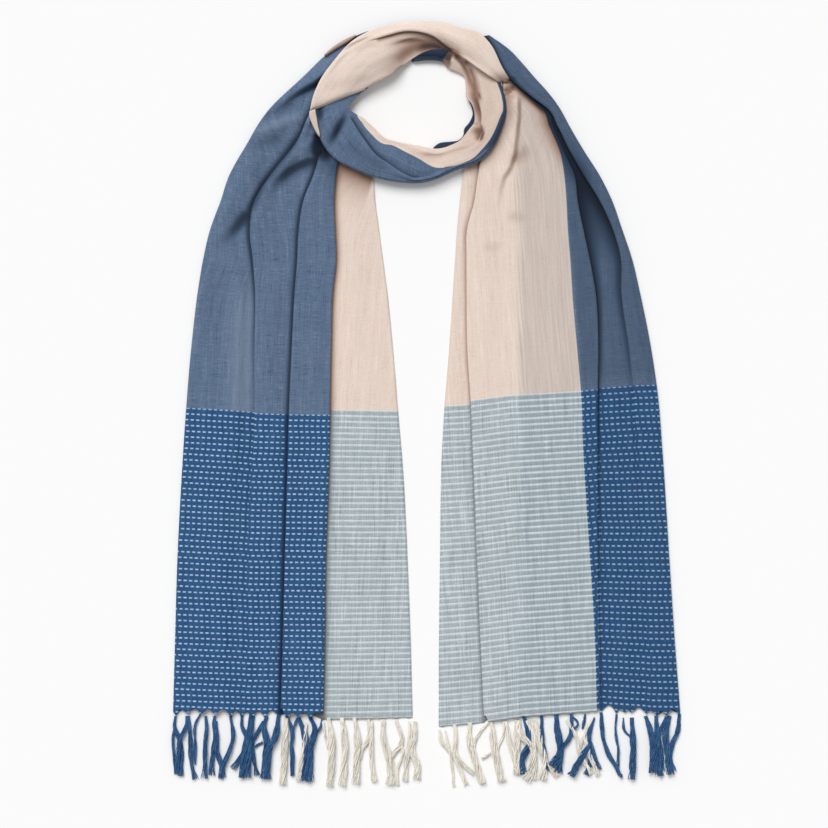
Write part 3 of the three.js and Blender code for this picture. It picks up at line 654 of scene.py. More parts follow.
class Section:
    """Columns of a folded cross-section, for all rows of a stretch at once.

    A point is its distance from edge A and its height, each with one value for every row.
    """

    EDGE_STEPS = 7
    SLOPE_REACH = 2.2 * MM

    def __init__(self, width: np.ndarray) -> None:
        """Starts a section of the given width at every row."""
        self.width = width
        self.d: list[np.ndarray] = []
        self.z: list[np.ndarray] = []
        self.marks: dict[str, int] = {}
        self.hollows: list[Hollow] = []

    def point(self, d: np.ndarray | float, z: np.ndarray | float) -> None:
        """Adds one column of points."""
        self.d.append(np.broadcast_to(d, self.width.shape).astype(float))
        self.z.append(np.broadcast_to(z, self.width.shape).astype(float))

    def mark(self, name: str) -> None:
        """Remembers the last column under a name."""
        self.marks[name] = len(self.d) - 1

    def span(self, d: np.ndarray | float, z: np.ndarray | float, bulge: np.ndarray | float = 0.0,
             column: float = CLOTH.column) -> None:
        """Adds an eased span from the last point to another one.

        Args:
            d: distance of its end from A.
            z: height of its end.
            bulge: extra height in the middle.
            column: spacing of the columns at the mean width.
        """
        from_d, from_z = self.d[-1], self.z[-1]
        count = max(2, int(round(float(np.mean(np.abs(d - from_d))) / column)))
        for i in range(1, count + 1):
            t = i / count
            ease = (1 - math.cos(math.pi * t)) / 2
            swell = bulge * math.sin(math.pi * t)
            self.point(from_d + (d - from_d) * t, from_z + (z - from_z) * ease + swell)

    def nose(self, way: float, z: np.ndarray | float, reach: np.ndarray | float,
             steps: int = 6) -> None:
        """Turns the cloth round a folded edge to a new height above or below.

        Args:
            way: 1 where the edge points away from A, -1 where it points to A.
            z: height after the turn.
            reach: how far the edge stands out.
            steps: points of the turn.
        """
        from_d, from_z = self.d[-1], self.z[-1]
        middle, half = (from_z + z) / 2, (z - from_z) / 2
        for i in range(1, steps + 1):
            angle = math.pi * i / steps
            self.point(from_d + way * reach * math.sin(angle), middle - half * math.cos(angle))

    def overlap(self, way: float, at: np.ndarray, stop: np.ndarray, tuck: np.ndarray,
                reach: float, rising: bool, depth: np.ndarray | float = 1.0,
                dark: np.ndarray | float = 0.7, shade: np.ndarray | float = 3.5 * MM,
                ease: np.ndarray | float = SLOPE_REACH) -> None:
        """Lays the cloth over itself in a Z, with a rounded upper edge.

        Args:
            way: 1 where the section runs from A to B, -1 where it runs back.
            at: distance of the upper edge from A.
            stop: height behind the overlap.
            tuck: width of the cloth hidden in it.
            reach: roundness of the upper edge.
            rising: whether the cloth behind it is the upper one.
            depth: 1 for a full overlap and 0 for a smooth slope in its place.
            dark: how dark its mouth is painted, as shade.
            shade: width of the painted shade on the low side.
            ease: half the width of the smooth slope.
        """
        start = self.z[-1]
        low, high = (start, stop) if rising else (stop, start)
        shelf = np.minimum(low + CLOTH.pitch, high)
        middle, half = (shelf + high) / 2, (high - shelf) / 2
        turn, path = 1.0 * MM, [(tuck * 0.5, low), (tuck, low)]
        for angle in (0.25, 0.5, 0.75):
            path.append((tuck + turn * math.sin(math.pi * angle), low + (shelf - low) * angle))
        path += [(tuck, shelf), (tuck * 0.5, shelf)]
        for i in range(self.EDGE_STEPS + 1):
            angle = math.pi * i / self.EDGE_STEPS
            path.append((reach * (1.1 - math.sin(angle)), middle - half * math.cos(angle)))
        if not rising:
            path = [(-offset, height) for offset, height in reversed(path)]
        for i, (offset, height) in enumerate(path):
            t = (i + 1) / (len(path) + 1)
            slope = (2 * t - 1) * ease
            level = start + (stop - start) * t * t * (3 - 2 * t)
            self.point(at + way * (slope + (offset - slope) * depth),
                       level + (height - level) * depth)
        stop_column = len(self.d) - 1
        self.hollows.append(Hollow(stop_column - len(path) + 1, stop_column, rising, at, depth,
                                   dark, shade))

    def darkness(self) -> np.ndarray:
        """Painted shade of every column from the mouths of the overlaps, a row for each row."""
        d = np.array(self.d).T
        total = np.zeros(d.shape)
        columns = np.arange(d.shape[1])
        for hollow in self.hollows:
            size = hollow.last - hollow.first + 1
            inside = (columns - hollow.first if hollow.rising else hollow.last - columns)
            hidden = size - self.EDGE_STEPS - 1
            lip = np.clip(1 - (inside - hidden) / 3, 0, 1)
            away = np.abs(d - hollow.at[:, None]) / np.reshape(hollow.reach, (-1, 1))
            depth = np.reshape(hollow.depth, (-1, 1))
            closed = lip * smooth((depth - 0.8) / 0.2)
            share = np.where(inside < 0, np.exp(-(away**2)) * depth, closed)
            total = np.maximum(total, share * np.reshape(hollow.dark, (-1, 1)))
        return total

    def hidden(self) -> np.ndarray:
        """Which columns lie hidden inside an overlap, as shares."""
        share = np.zeros(len(self.d))
        for hollow in self.hollows:
            at_hem = float(np.broadcast_to(hollow.depth, self.width.shape)[0])
            share[hollow.first:hollow.last + 1] = float(smooth(np.array(at_hem - 0.8) / 0.2))
        return share

    def lengths(self) -> np.ndarray:
        """Flat distance of every column from the first one, a row for each row of the stretch."""
        d, z = np.array(self.d).T, np.array(self.z).T
        steps = np.hypot(np.diff(d, axis=1), np.diff(z, axis=1))
        return np.concatenate([np.zeros((d.shape[0], 1)), np.cumsum(steps, axis=1)], axis=1)


@dataclass(frozen=True)
class StretchFacts:
    """Facts of a stretch: its name, the node it stands for, its slot, what it rests on, folds, waves."""

    name: str
    node: str
    slot: str
    rests_on: tuple[str, ...]
    folds: tuple[Fold, ...]
    ripple: Ripple


class Stretch:
    """One stretch of the cloth, cut flat and laid into its folds."""

    facts: StretchFacts
    rows: dict[str, np.ndarray]
    turned: bool = False
    dimmed: float = 0.0

    def __init__(self, material: bpy.types.Material) -> None:
        """Lays out and builds the stretch in the given cloth."""
        self.lay_rows()
        section = self.section()
        self.d = np.array(section.d).T
        self.z = np.array(section.z).T
        self.marks = section.marks
        self.hollow = section.darkness()
        self.hidden = section.hidden()
        self.u = self.across(section.lengths())
        self.material = material
        self.build()

    def lay_rows(self) -> None:
        """Reads the table at even steps along the stretch."""
        mid_x = (self.rows["ax"] + self.rows["bx"]) / 2
        mid_y = (self.rows["ay"] + self.rows["by"]) / 2
        key = np.concatenate([[0], np.cumsum(np.hypot(np.diff(mid_x), np.diff(mid_y)))])
        self.length = float(key[-1]) * PHOTO.pixel
        count = int(round(self.length / CLOTH.row)) + 1
        at = np.linspace(0, key[-1], count)
        self.row = {name: spaced(key, values, at) for name, values in self.rows.items()}
        self.v = at * PHOTO.pixel
        self.ax, self.ay = PHOTO.x(self.row["ax"]), PHOTO.y(self.row["ay"])
        self.bx, self.by = PHOTO.x(self.row["bx"]), PHOTO.y(self.row["by"])
        self.width = np.hypot(self.bx - self.ax, self.by - self.ay)

    def column(self, name: str) -> np.ndarray:
        """A height column of the table in metres."""
        return self.row[name] * MM

    def share(self, name: str) -> np.ndarray:
        """Distance from A of a share column."""
        return self.row[name] * self.width

    def section(self) -> Section:
        """The folded cross-section of this stretch."""
        raise NotImplementedError

    def across(self, lengths: np.ndarray) -> np.ndarray:
        """Flat distance across the weave, counted so that the blush part ends at its mark."""
        from_tint = lengths - lengths[:, self.marks["tint"]][:, None]
        return WEAVE.blush_end + (-from_tint if self.turned else from_tint)

    def grid(self) -> tuple[np.ndarray, np.ndarray, np.ndarray]:
        """Places of all points, a row for each row of the stretch."""
        share = self.d / self.width[:, None]
        x = self.ax[:, None] + (self.bx - self.ax)[:, None] * share
        y = self.ay[:, None] + (self.by - self.ay)[:, None] * share
        return x, y, self.z.copy()

    def flat_v(self, x: np.ndarray, y: np.ndarray) -> np.ndarray:
        """Flat distance of every point from the hem."""
        return np.repeat(self.v[:, None] + WEAVE.body_start, x.shape[1], axis=1)

    def relief(self, x: np.ndarray, y: np.ndarray, v: np.ndarray) -> np.ndarray:
        """Height of the laid folds and of the shallow waves, noting their painted shade and highlights.
        """
        total = self.facts.ripple.lift(self.d, v)
        # hollow gathers painted shade from the folds and from parts in shade, pale painted highlights
        self.pale = np.zeros(x.shape)
        for fold in self.facts.folds:
            height, dark = fold.laid(x, y)
            total = total + height
            self.pale = np.maximum(self.pale, -dark)
            self.hollow = 1 - (1 - self.hollow) * (1 - np.maximum(dark, 0))
        self.hollow = 1 - (1 - self.hollow) * (1 - self.dimness(x, y))
        return total

    def build(self) -> None:
        """Cuts the flat piece, folds it and gives it its thickness."""
        x, y, z = self.grid()
        v = self.flat_v(x, y)
        z = np.maximum(z + self.relief(x, y, v) * self.weight(z), CLOTH.floor)
        x, y = self.trim(x, y)
        v = self.flat_v(x, y)
        rows, columns = x.shape
        bpy.ops.object.select_all(action="DESELECT")
        bpy.ops.mesh.primitive_grid_add(x_subdivisions=columns - 1, y_subdivisions=rows - 1, size=1)
        piece = bpy.context.active_object
        piece.name = piece.data.name = self.facts.name
        mesh = piece.data
        points = np.stack([x, y, z], axis=-1).reshape(-1, 3)
        mesh.vertices.foreach_set("co", points.ravel())
        corners = np.zeros(len(mesh.loops), int)
        mesh.loops.foreach_get("vertex_index", corners)
        cloth = np.stack([self.u, v], axis=-1).reshape(-1, 2)
        mesh.uv_layers[0].data.foreach_set("uv", cloth[corners].ravel())
        # hollow carries painted shade and pale painted highlights into the colour of the cloth
        for name, values in (("under_blue", self.under_blue(x, y)), ("hollow", self.hollow),
                             ("pale", self.pale)):
            layer = mesh.attributes.new(name, "FLOAT", "POINT")
            layer.data.foreach_set("value", np.clip(values, 0, 1).ravel())
        mesh.update()
        self.thicken(piece)
        mesh.materials.append(self.material)
        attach(piece, "root")
        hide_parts(self.facts.node)

    def thicken(self, piece: bpy.types.Object) -> None:
        """Turns the surface outwards and gives it the cloth's thickness."""
        bpy.ops.object.mode_set(mode="EDIT")
        bpy.ops.mesh.select_all(action="SELECT")
        bpy.ops.mesh.normals_make_consistent(inside=False)
        bpy.ops.object.mode_set(mode="OBJECT")
        modifier = piece.modifiers.new("Thickness", "SOLIDIFY")
        modifier.thickness = CLOTH.thickness
        modifier.offset = 0
        modifier.use_even_offset = False
        modifier.use_rim = True
        bpy.ops.object.modifier_apply(modifier=modifier.name)
        bpy.ops.object.shade_smooth()

    def weight(self, z: np.ndarray) -> np.ndarray | float:
        """How much of the laid folds each point takes."""
        return 1.0

    def trim(self, x: np.ndarray, y: np.ndarray) -> tuple[np.ndarray, np.ndarray]:
        """Small shifts of the points in plan."""
        return x, y

    def under_blue(self, x: np.ndarray, y: np.ndarray) -> np.ndarray:
        """Share of blue cloth that shows faintly through from the layer below."""
        return np.zeros(x.shape)

    def dimness(self, x: np.ndarray, y: np.ndarray) -> np.ndarray:
        """Painted shade of whole parts that lie turned away."""
        return np.full(x.shape, self.dimmed)


class Tail(Stretch):
    """A tail of the scarf, with the striped panel at its end."""

    panel: dict[str, tuple[float, float]]
    roots: tuple[float, ...]
    blue_arch = 8.0
    grey_arch = 1.2
    arch_share = 0.58
    arch_power = 0.8
    arch_sink = 0.3
    hidden_short = 6.0
    hem_reach = 12 * MM

    def panel_line(self, which: int) -> np.ndarray:
        """The panel's start (0) or the hem (1) at every column, as a place in metres."""
        marks = sorted((self.marks[name], line[which]) for name, line in self.panel.items())
        columns, lines = zip(*marks)
        return PHOTO.y(np.interp(np.arange(self.d.shape[1]), columns, lines))

    def flat_v(self, x: np.ndarray, y: np.ndarray) -> np.ndarray:
        """Flat distance from the hem, counted so that the panel starts where the photograph has it."""
        top, hem = self.panel_line(0), self.panel_line(1)
        inside = (y - hem) / (top - hem) * WEAVE.panel_length
        along = np.repeat(self.v[:, None], x.shape[1], axis=1)
        start = np.array([np.interp(0.0, (y - top)[:, i], along[:, i]) for i in range(x.shape[1])])
        above = WEAVE.panel_length + along - start[None, :]
        return np.where(y < top, inside, above)

    def trim(self, x: np.ndarray, y: np.ndarray) -> tuple[np.ndarray, np.ndarray]:
        """Shapes the hem into the small arches between the roots of the fringe."""
        roots = np.array(self.roots)
        column = PHOTO.origin_x + x[0] / PHOTO.pixel
        i = np.clip(np.searchsorted(roots, column), 1, len(roots) - 1)
        gap = roots[i] - roots[i - 1]
        share = np.clip((column - roots[i - 1]) / gap, 0, 1)
        tall = np.where(self.u[0] > WEAVE.blush_end, self.blue_arch, self.grey_arch)
        arch = np.minimum(tall, self.arch_share * gap) * np.sin(math.pi * share) ** self.arch_power
        short = self.hidden_short * self.hidden
        hem = self.panel_line(1) + (arch - self.arch_sink * tall + short) * PHOTO.pixel
        fade = np.exp(-self.v / self.hem_reach)[:, None]
        return x, y + (hem - y[0])[None, :] * fade


class LeftTail(Tail):
    """The left tail: outer panel, pleat, and the blue cloth lapping over the blush."""

    facts = StretchFacts("LeftTail", "left_tail", "left_tail_cloth", (), LEFT_FOLDS, Ripple(11))
    rows = LEFT_TAIL
    panel = LEFT_PANEL
    roots = (170, 176, 187.5, 202, 215.5, 230.6, 241.8, 252.5, 265, 278.8, 287, 298, 310, 322,
             329, 341.7, 354.6, 369, 383, 397, 409, 416)

    def section(self) -> Section:
        """Columns from the blush selvedge to the outer fold."""
        relief, lift, rim = self.row["relief"], self.column("lift"), self.row["rim"]
        lap, pleat = self.share("lap"), self.share("pleat")
        edge, crest = self.share("edge"), self.share("crest")
        low = CLOTH.floor + lift
        made = Section(self.width)
        made.point(self.width, low + 0.3 * MM)
        made.mark("selvedge")
        made.span((self.width + lap) / 2, low + 2.6 * MM * relief)
        made.span(lap + 5 * MM, low + 1.2 * MM)
        made.span(lap + 0.5 * MM, low + 0.3 * MM)
        made.mark("blush")
        hidden = np.clip(lap - pleat - 18 * MM, 3 * MM, 30 * MM)
        made.overlap(-1, lap, low + 6.4 * MM, hidden, 1.8 * MM, rising=True, dark=0.52,
                     shade=4.6 * MM)
        made.mark("tint")
        made.span((pleat + lap) / 2, low + 6.6 * MM)
        made.span(pleat + 3 * MM, low + 8.0 * MM)
        made.mark("pleat")
        tuck = np.clip(0.25 * (lap - pleat), 2 * MM, 11 * MM)
        made.overlap(-1, pleat, low + 0.8 * MM, tuck, 2.0 * MM, rising=False, dark=0.8,
                     shade=4 * MM)
        made.mark("under")
        made.span(pleat - 7 * MM, low + 2.8 * MM)
        made.span((pleat + edge) / 2, low + 4.4 * MM * relief)
        made.span(edge + 3 * MM, low + (3.0 + 4.6 * rim) * MM)
        made.mark("rim")
        tuck = np.clip(0.2 * (pleat - edge), 1.5 * MM, 8 * MM)
        made.overlap(-1, edge, low + (2.4 - 1.4 * rim) * MM, tuck, 1.8 * MM, rising=False,
                     depth=smooth(rim * 1.5), dark=0.92, shade=(2.4 + 1.6 * rim) * MM)
        made.mark("valley")
        made.span(edge - 0.35 * (edge - crest), low + 3.4 * MM)
        made.span(crest, low + (2.8 + 4.6 * relief) * MM)
        made.mark("crest")
        made.span(3.4 * MM, low + 3.4 * MM, bulge=0.8 * MM)
        made.mark("fold")
        made.nose(-1, CLOTH.floor, 2.8 * MM, 8)
        made.span(CLOTH.return_width * np.clip(self.width / 0.1, 0.3, 1), CLOTH.floor, column=8 * MM)
        made.mark("end")
        made.marks["tint"] -= Section.EDGE_STEPS // 2
        return made


class RightTail(Tail):
    """The right tail: pleat, blush cloth, lap, and the outer strip of blue cloth."""

    facts = StretchFacts("RightTail", "right_tail", "right_tail_cloth", (), RIGHT_FOLDS, Ripple(23))
    rows = RIGHT_TAIL
    panel = RIGHT_PANEL
    roots = (436, 443, 455, 470, 489, 504, 517, 527, 541, 556, 570, 586, 595, 602, 616, 624, 632,
             645.6, 656, 666, 679)

    def section(self) -> Section:
        """Columns from the blush selvedge to the outer fold."""
        relief, lift, gap = self.row["relief"], self.column("lift"), self.column("gap")
        inner = np.clip(self.row["inner"], 0, 1)
        pleat, tint, lap, strip = (self.share(n) for n in ("pleat", "tint", "lap", "strip"))
        low = CLOTH.floor + lift
        made = Section(self.width)
        made.point(0.0, low + 0.3 * MM)
        made.mark("selvedge")
        made.span(pleat * 0.5, low + 1.6 * MM)
        made.span(pleat - 0.5 * MM, low + 0.4 * MM)
        made.mark("under")
        tuck = np.clip(0.2 * (tint - pleat), 2 * MM, 11 * MM)
        made.overlap(1, pleat, low + 4.8 * MM, tuck, 1.9 * MM, rising=True, dark=0.4, shade=2.6 * MM)
        made.mark("pleat")
        made.span(pleat + 0.35 * (tint - pleat), low + 4.4 * MM)
        made.mark("middle")
        made.span(tint, low + 3.6 * MM)
        made.mark("tint")
        made.span(lap - 2.5 * MM, low + (3.8 + 2.4 * inner) * MM - 0.8 * gap * (1 - inner))
        made.mark("inner")
        fold = np.clip(0.3 * (lap - tint), 1.2 * MM, 6 * MM)
        made.overlap(1, lap, low + 1.2 * MM, fold, 1.6 * MM, rising=False, depth=inner, dark=0.95,
                     shade=2.4 * MM + 4.2 * np.maximum(gap - 0.6 * MM, 0))
        made.mark("lap")
        middle = np.maximum((lap + strip) / 2, lap + 2.4 * MM)
        made.span(middle, low + (2.0 + 1.2 * relief) * MM - gap * 0.3)
        closed = smooth(gap / MM / 1.4)
        made.span(np.maximum(strip - (2.5 - 2 * closed) * MM, middle + 0.5 * MM),
                  low + 2.4 * MM - gap * 0.7)
        made.mark("strip")
        cliff = np.clip((self.width - strip) * 0.2, 1 * MM, 5 * MM)
        made.overlap(1, strip, low + 4.6 * MM + gap * 0.9, cliff, 1.8 * MM, rising=True,
                     depth=closed, dark=np.clip(0.3 + gap / MM * 0.28, 0, 1),
                     shade=2.6 * MM + 4 * np.maximum(gap - 0.5 * MM, 0))
        made.span((self.width + strip) / 2 + 1.5 * MM, low + 5.6 * MM + gap * 0.6)
        made.span(self.width - 3 * MM, low + 3.6 * MM)
        made.mark("fold")
        made.nose(1, CLOTH.floor, 2.8 * MM, 8)
        back = self.width - CLOTH.return_width * np.clip(self.width / 0.1, 0.3, 1)
        made.span(back, CLOTH.floor, column=8 * MM)
        made.mark("end")
        return made

    def under_blue(self, x: np.ndarray, y: np.ndarray) -> np.ndarray:
        """The blush cloth looks greyer where the turned-under blue cloth lies below it."""
        edge = PHOTO.x(np.interp(PHOTO.origin_y - y / PHOTO.pixel,
                                 [90, 150, 260, 710], [519, 516, 519, 521]))
        return smooth((x - edge) / (22 * MM) + 0.5)

    def dimness(self, x: np.ndarray, y: np.ndarray) -> np.ndarray:
        """Painted shade of the blue part, which slopes away to the right, less so in its panel."""
        part = smooth((self.u - WEAVE.blush_end) / (2 * MM))
        shaded = part * (0.14 + 0.13 * smooth((y - PHOTO.y(395)) / (30 * MM)))
        # painted shade in the pit between the lap and the strip, in the upper part of the tail
        pit = np.zeros(x.shape[1])
        pit[self.marks["lap"]:self.marks["strip"] + 2] = 1.0
        deep = np.interp(PHOTO.origin_y - y / PHOTO.pixel,
                         [108, 118, 186, 197, 210, 228, 262], [0, 1, 1, 0.85, 0.6, 0.34, 0])
        return 1 - (1 - shaded) * (1 - pit * deep)


class Wound(Stretch):
    """A stretch that is folded round on itself, with a flat underside and a crowned top."""

    end_rows: tuple[float, float]
    turned = True

    def taper(self) -> np.ndarray:
        """Share of the height at every row, rounded off towards turned ends."""
        start, stop = (reach * MM for reach in self.end_rows)
        near = np.clip(np.minimum(self.v / start, (self.v[-1] - self.v) / stop), 0, 1)
        return np.sqrt(np.clip(1 - (1 - near) ** 2, 0.02, 1))

    def dome(self, share: np.ndarray | float) -> np.ndarray:
        """Height of the crown at a share of the width."""
        return self.column("crown") * (0.7 + 0.3 * np.sin(math.pi * np.clip(share, 0, 1)))

    def weight(self, z: np.ndarray) -> np.ndarray | float:
        """Only the upper side takes the laid folds."""
        base = self.base()[:, None]
        crown = (self.column("crown") * self.taper())[:, None]
        return smooth((z - base - 0.25 * crown) / (0.3 * crown))

    def base(self) -> np.ndarray:
        """Height of the underside."""
        return np.maximum(self.column("base"), CLOTH.floor)


class NeckBand(Wound):
    """The blush band across the top, its upper roll lying over the hollow lower panel."""

    facts = StretchFacts("NeckBand", "neck_band", "neck_band_cloth", ("FrontLoop", "RightTail"),
                         BAND_FOLDS, Ripple(37, height=0.4, across=12, along=90))
    rows = NECK_BAND
    end_rows = (7.0, 9.0)

    def section(self) -> Section:
        """Columns once round, from the middle of the underside by edge A to edge B and back."""
        width, base, tall = self.width, self.base(), self.taper()
        fold, step, sag = self.share("fold"), self.column("step"), self.column("sag")
        step = np.maximum(step, 0)
        edge = np.minimum(2.0 * MM, 0.2 * width)
        made = Section(width)
        made.point(width * 0.5, base)
        made.span(edge, base, column=6 * MM)
        height = self.dome(0.0) * tall
        made.nose(-1, base + height, edge, 10)
        made.mark("tint")
        made.marks["tint"] -= 5
        fold = np.maximum(fold, edge + 3.0 * MM)
        made.span(fold * 0.5 + edge * 0.5, base + self.dome(self.row["fold"] / 2) * tall)
        made.span(fold - 2.5 * MM, base + self.dome(self.row["fold"]) * tall)
        depth = smooth((step / MM - 1.3) / 1.1)
        tuck = np.minimum(np.minimum(6 * MM, 0.3 * (width - fold) + 1 * MM), 0.24 * fold)
        drop = base + (self.dome(self.row["fold"]) * tall - step * tall)
        made.overlap(1, fold, drop, tuck, 1.6 * MM, rising=False, depth=depth)
        middle = (fold + width) / 2
        made.span(middle, base + (self.dome((self.row["fold"] + 1) / 2) - step - sag * 0.6) * tall)
        rim = np.maximum((self.dome(1.0) * 0.8 - step - sag) * tall, 0.8 * MM)
        made.span(width - edge * 0.4, base + rim)
        made.nose(1, base, edge * 0.4, 6)
        made.span(width * 0.5 + 1 * MM, base, column=6 * MM)
        return made


class FrontLoop(Wound):
    """The loop round the opening, blush and blue, with its diagonal fold and the creased arm."""

    facts = StretchFacts("FrontLoop", "front_loop", "front_loop_cloth", ("LeftTail", "RightTail"),
                         LOOP_FOLDS, Ripple(53, height=0.4, across=11, along=80))
    rows = FRONT_LOOP
    end_rows = (5.0, 8.0)

    def section(self) -> Section:
        """Columns once round, from the middle of the underside by edge A to edge B and back."""
        width, base, tall = self.width, self.base(), self.taper()
        edge = np.minimum(2.6 * MM, 0.2 * width)
        step, arm = np.maximum(self.column("step"), 0), np.maximum(self.column("arm"), 0)
        made = Section(width)
        made.point(width * 0.5, base)
        made.span(edge, base, column=6 * MM)
        height = self.dome(0.0) * tall
        made.nose(-1, base + height, edge, 10)
        ease = (0.4 + 1.8 * smooth(step / MM)) * MM
        fold = np.maximum(self.share("fold"), edge + ease + 0.5 * MM)
        tint = np.maximum(self.share("tint"), fold + ease + 0.1 * MM)
        crease = np.minimum(np.maximum(self.share("crease"), tint + 2.7 * MM), width - 0.8 * MM)
        top = base + self.dome(fold / width) * tall
        made.span(fold - ease - 0.2 * MM, top)
        tuck = np.minimum(5 * MM, 0.5 * fold)
        made.overlap(1, fold, top - step * tall, tuck, 1.6 * MM, rising=False,
                     depth=smooth((step / MM - 1.3) / 1.1), ease=ease)
        made.span(tint, base + (self.dome(tint / width) - step) * tall)
        made.mark("tint")
        top = base + (self.dome(crease / width) - step) * tall
        made.span(crease - 2.4 * MM, top)
        tuck = np.minimum(5 * MM, 0.4 * (crease - tint))
        made.overlap(1, crease, top - arm * tall, tuck, 1.4 * MM, rising=False,
                     depth=smooth((arm / MM - 1.3) / 1.1), dark=0.55, shade=2.4 * MM)
        inner = np.maximum(width - edge * 0.35, crease + 0.3 * MM)
        rim = np.maximum((self.dome(1.0) * 0.85 - step - arm) * tall, 0.8 * MM)
        made.span(inner, base + rim)
        made.nose(1, base, np.maximum(width - inner, 0.3 * MM), 7)
        made.span(width * 0.5 + 1 * MM, base, column=6 * MM)
        return made

    def across(self, lengths: np.ndarray) -> np.ndarray:
        """Flat distance, shifted where the blush cloth has turned below edge B."""
        return super().across(lengths) + self.column("turn")[:, None]

    def dimness(self, x: np.ndarray, y: np.ndarray) -> np.ndarray:
        """The right arm lies in the painted shade of the band, and so does the outer blue edge."""
        arm = smooth((x - PHOTO.x(440)) / (20 * MM)) * smooth((y - PHOTO.y(158)) / (20 * MM))
        blue = smooth((self.u - WEAVE.blush_end) / (2 * MM))
        # painted shade: a little over the whole loop, more on the arm and its outer blue edge
        return 0.03 + arm * (0.11 + 0.42 * blue)


class Peep(Stretch):
    """A small layer of which only an edge shows, all of it in one part of the cloth."""

    starts: float

    def across(self, lengths: np.ndarray) -> np.ndarray:
        """Flat distance, counted from where the layer starts in the weave."""
        return lengths + self.starts


class InnerLayer(Peep):
    """The blue layer that peeps out below the right arm of the loop, in the loop's shade."""

    facts = StretchFacts("InnerLayer", "front_loop", "front_loop_cloth", ("RightTail",), (),
                         Ripple(61, height=0.1))
    rows = INNER_LAYER
    starts = WEAVE.blush_end + 60 * MM
    dimmed = 0.72

    def section(self) -> Section:
        """Columns from the hidden edge to the edge at the opening and back below."""
        made = Section(self.width)
        made.point(0.0, 3.0 * MM)
        made.span(self.width - 1.4 * MM, 3.4 * MM, column=1.5 * MM)
        made.nose(1, CLOTH.floor, 1.4 * MM, 6)
        made.span(0.4 * self.width, CLOTH.floor)
        return made


class OuterEdge(Peep):
    """The blush edge of the layer behind along the left shoulder, rolled away from the light."""

    facts = StretchFacts("OuterEdge", "left_tail", "left_tail_cloth", ("LeftTail",), (),
                         Ripple(71, height=0.05))
    rows = OUTER_EDGE
    starts = 90 * MM
    dimmed = 0.36

    def section(self) -> Section:
        """Columns from the outer edge inwards, sinking under the cloth."""
        made = Section(self.width)
        made.point(-0.2 * MM, 9.0 * MM)
        made.span(0.1 * MM, 11.4 * MM, column=0.5 * MM)
        made.span(0.55 * self.width + 0.2 * MM, 12.4 * MM, column=0.8 * MM)
        made.span(self.width + 0.4 * MM, 11.2 * MM, column=0.8 * MM)
        made.span(self.width + 1.2 * MM, 4 * MM)
        made.span(self.width + 12 * MM, 3.6 * MM)
        return made


class CornerFlap(Peep):
    """The blush corner of the band that is turned over on the loop, a little in shade."""

    facts = StretchFacts("CornerFlap", "neck_band", "neck_band_cloth", ("FrontLoop",), (),
                         Ripple(67, height=0.05))
    rows = CORNER_FLAP
    starts = 60 * MM
    dimmed = 0.1

    def section(self) -> Section:
        """Columns from the outer edge to the inner one."""
        along = self.v / self.v[-1]
        top = (19.2 - 2.6 * along) * MM
        made = Section(self.width)
        made.point(0.3 * MM, top - 9.5 * MM)
        made.nose(-1, top - 0.6 * MM, 0.5 * MM)
        made.span(self.width, top, bulge=0.5 * MM, column=0.7 * MM)
        return made


# Fringe.


@dataclass(frozen=True)
class Thread:
    """A bundle of yarns in the fringe.

    The path is in pixels of an enlarged view of the hem, plies is the number of its yarns, and girth
    is its radius in millimetres.
    """

    path: tuple[tuple[float, float], ...]
    plies: int
    girth: float


def thick(*path: tuple[float, float]) -> Thread:
    """A full tuft."""
    return Thread(path, 26, 4.2)


def plain(*path: tuple[float, float]) -> Thread:
    """A tuft of middling size."""
    return Thread(path, 16, 2.9)


def thin(*path: tuple[float, float]) -> Thread:
    """A thin leg or a lone end."""
    return Thread(path, 8, 1.7)


LEFT_BLUE = (
    plain((90, 440), (85, 500), (115, 580), (120, 810)),
    thin((85, 500), (75, 600), (85, 680), (90, 795)),
    plain((155, 440), (155, 480), (120, 570), (105, 800)),
    plain((165, 440), (175, 560), (185, 700), (208, 830)),
    thin((235, 430), (205, 490), (205, 600), (205, 740)),
    plain((265, 440), (270, 500), (262, 640), (265, 825)),
    plain((320, 440), (315, 480), (320, 560), (310, 640), (298, 805)),
    plain((325, 470), (330, 560), (330, 640), (355, 720), (350, 825)),
    plain((410, 440), (425, 550), (400, 650), (378, 710), (365, 820)),
    plain((475, 440), (475, 500), (500, 560), (480, 650), (410, 765)),
    thick((530, 430), (520, 520), (500, 640), (465, 820)),
    thick((545, 440), (520, 560), (515, 700), (510, 820)),
    plain((600, 470), (560, 550), (535, 600), (545, 680), (570, 805)),
    thick((620, 440), (605, 500), (620, 580), (610, 700), (605, 825)),
    thick((690, 430), (670, 560), (640, 620), (625, 830)),
    thin((550, 620), (600, 590)),
    plain((735, 440), (765, 510), (765, 620), (770, 730), (765, 810)),
    thin((800, 450), (775, 510), (766, 600)),
    thick((805, 450), (840, 550), (850, 640), (840, 840)),
    thick((870, 440), (900, 520), (880, 600), (870, 845)),
    thin((940, 460), (930, 510), (890, 560), (878, 640)),
)
LEFT_CREAM = (
    thick((735, 450), (725, 600), (715, 860)),
    plain((850, 480), (830, 650), (800, 840)),
    thick((980, 450), (995, 560), (985, 870)),
    thin((945, 470), (965, 580), (985, 640)),
    thick((1055, 450), (1070, 560), (1060, 870)),
    thick((1130, 450), (1145, 560), (1140, 700), (1140, 855)),
    plain((1210, 460), (1215, 560), (1170, 640), (1150, 720)),
    plain((1230, 470), (1225, 640), (1250, 845)),
    thick((1295, 460), (1295, 560), (1330, 700), (1340, 860)),
    plain((1370, 460), (1400, 590), (1340, 690), (1335, 740)),
    thin((1400, 600), (1410, 640), (1380, 740), (1385, 860)),
    plain((1445, 470), (1450, 570), (1430, 700), (1420, 840)),
    thick((1480, 470), (1475, 560), (1460, 620), (1495, 740), (1490, 825)),
)
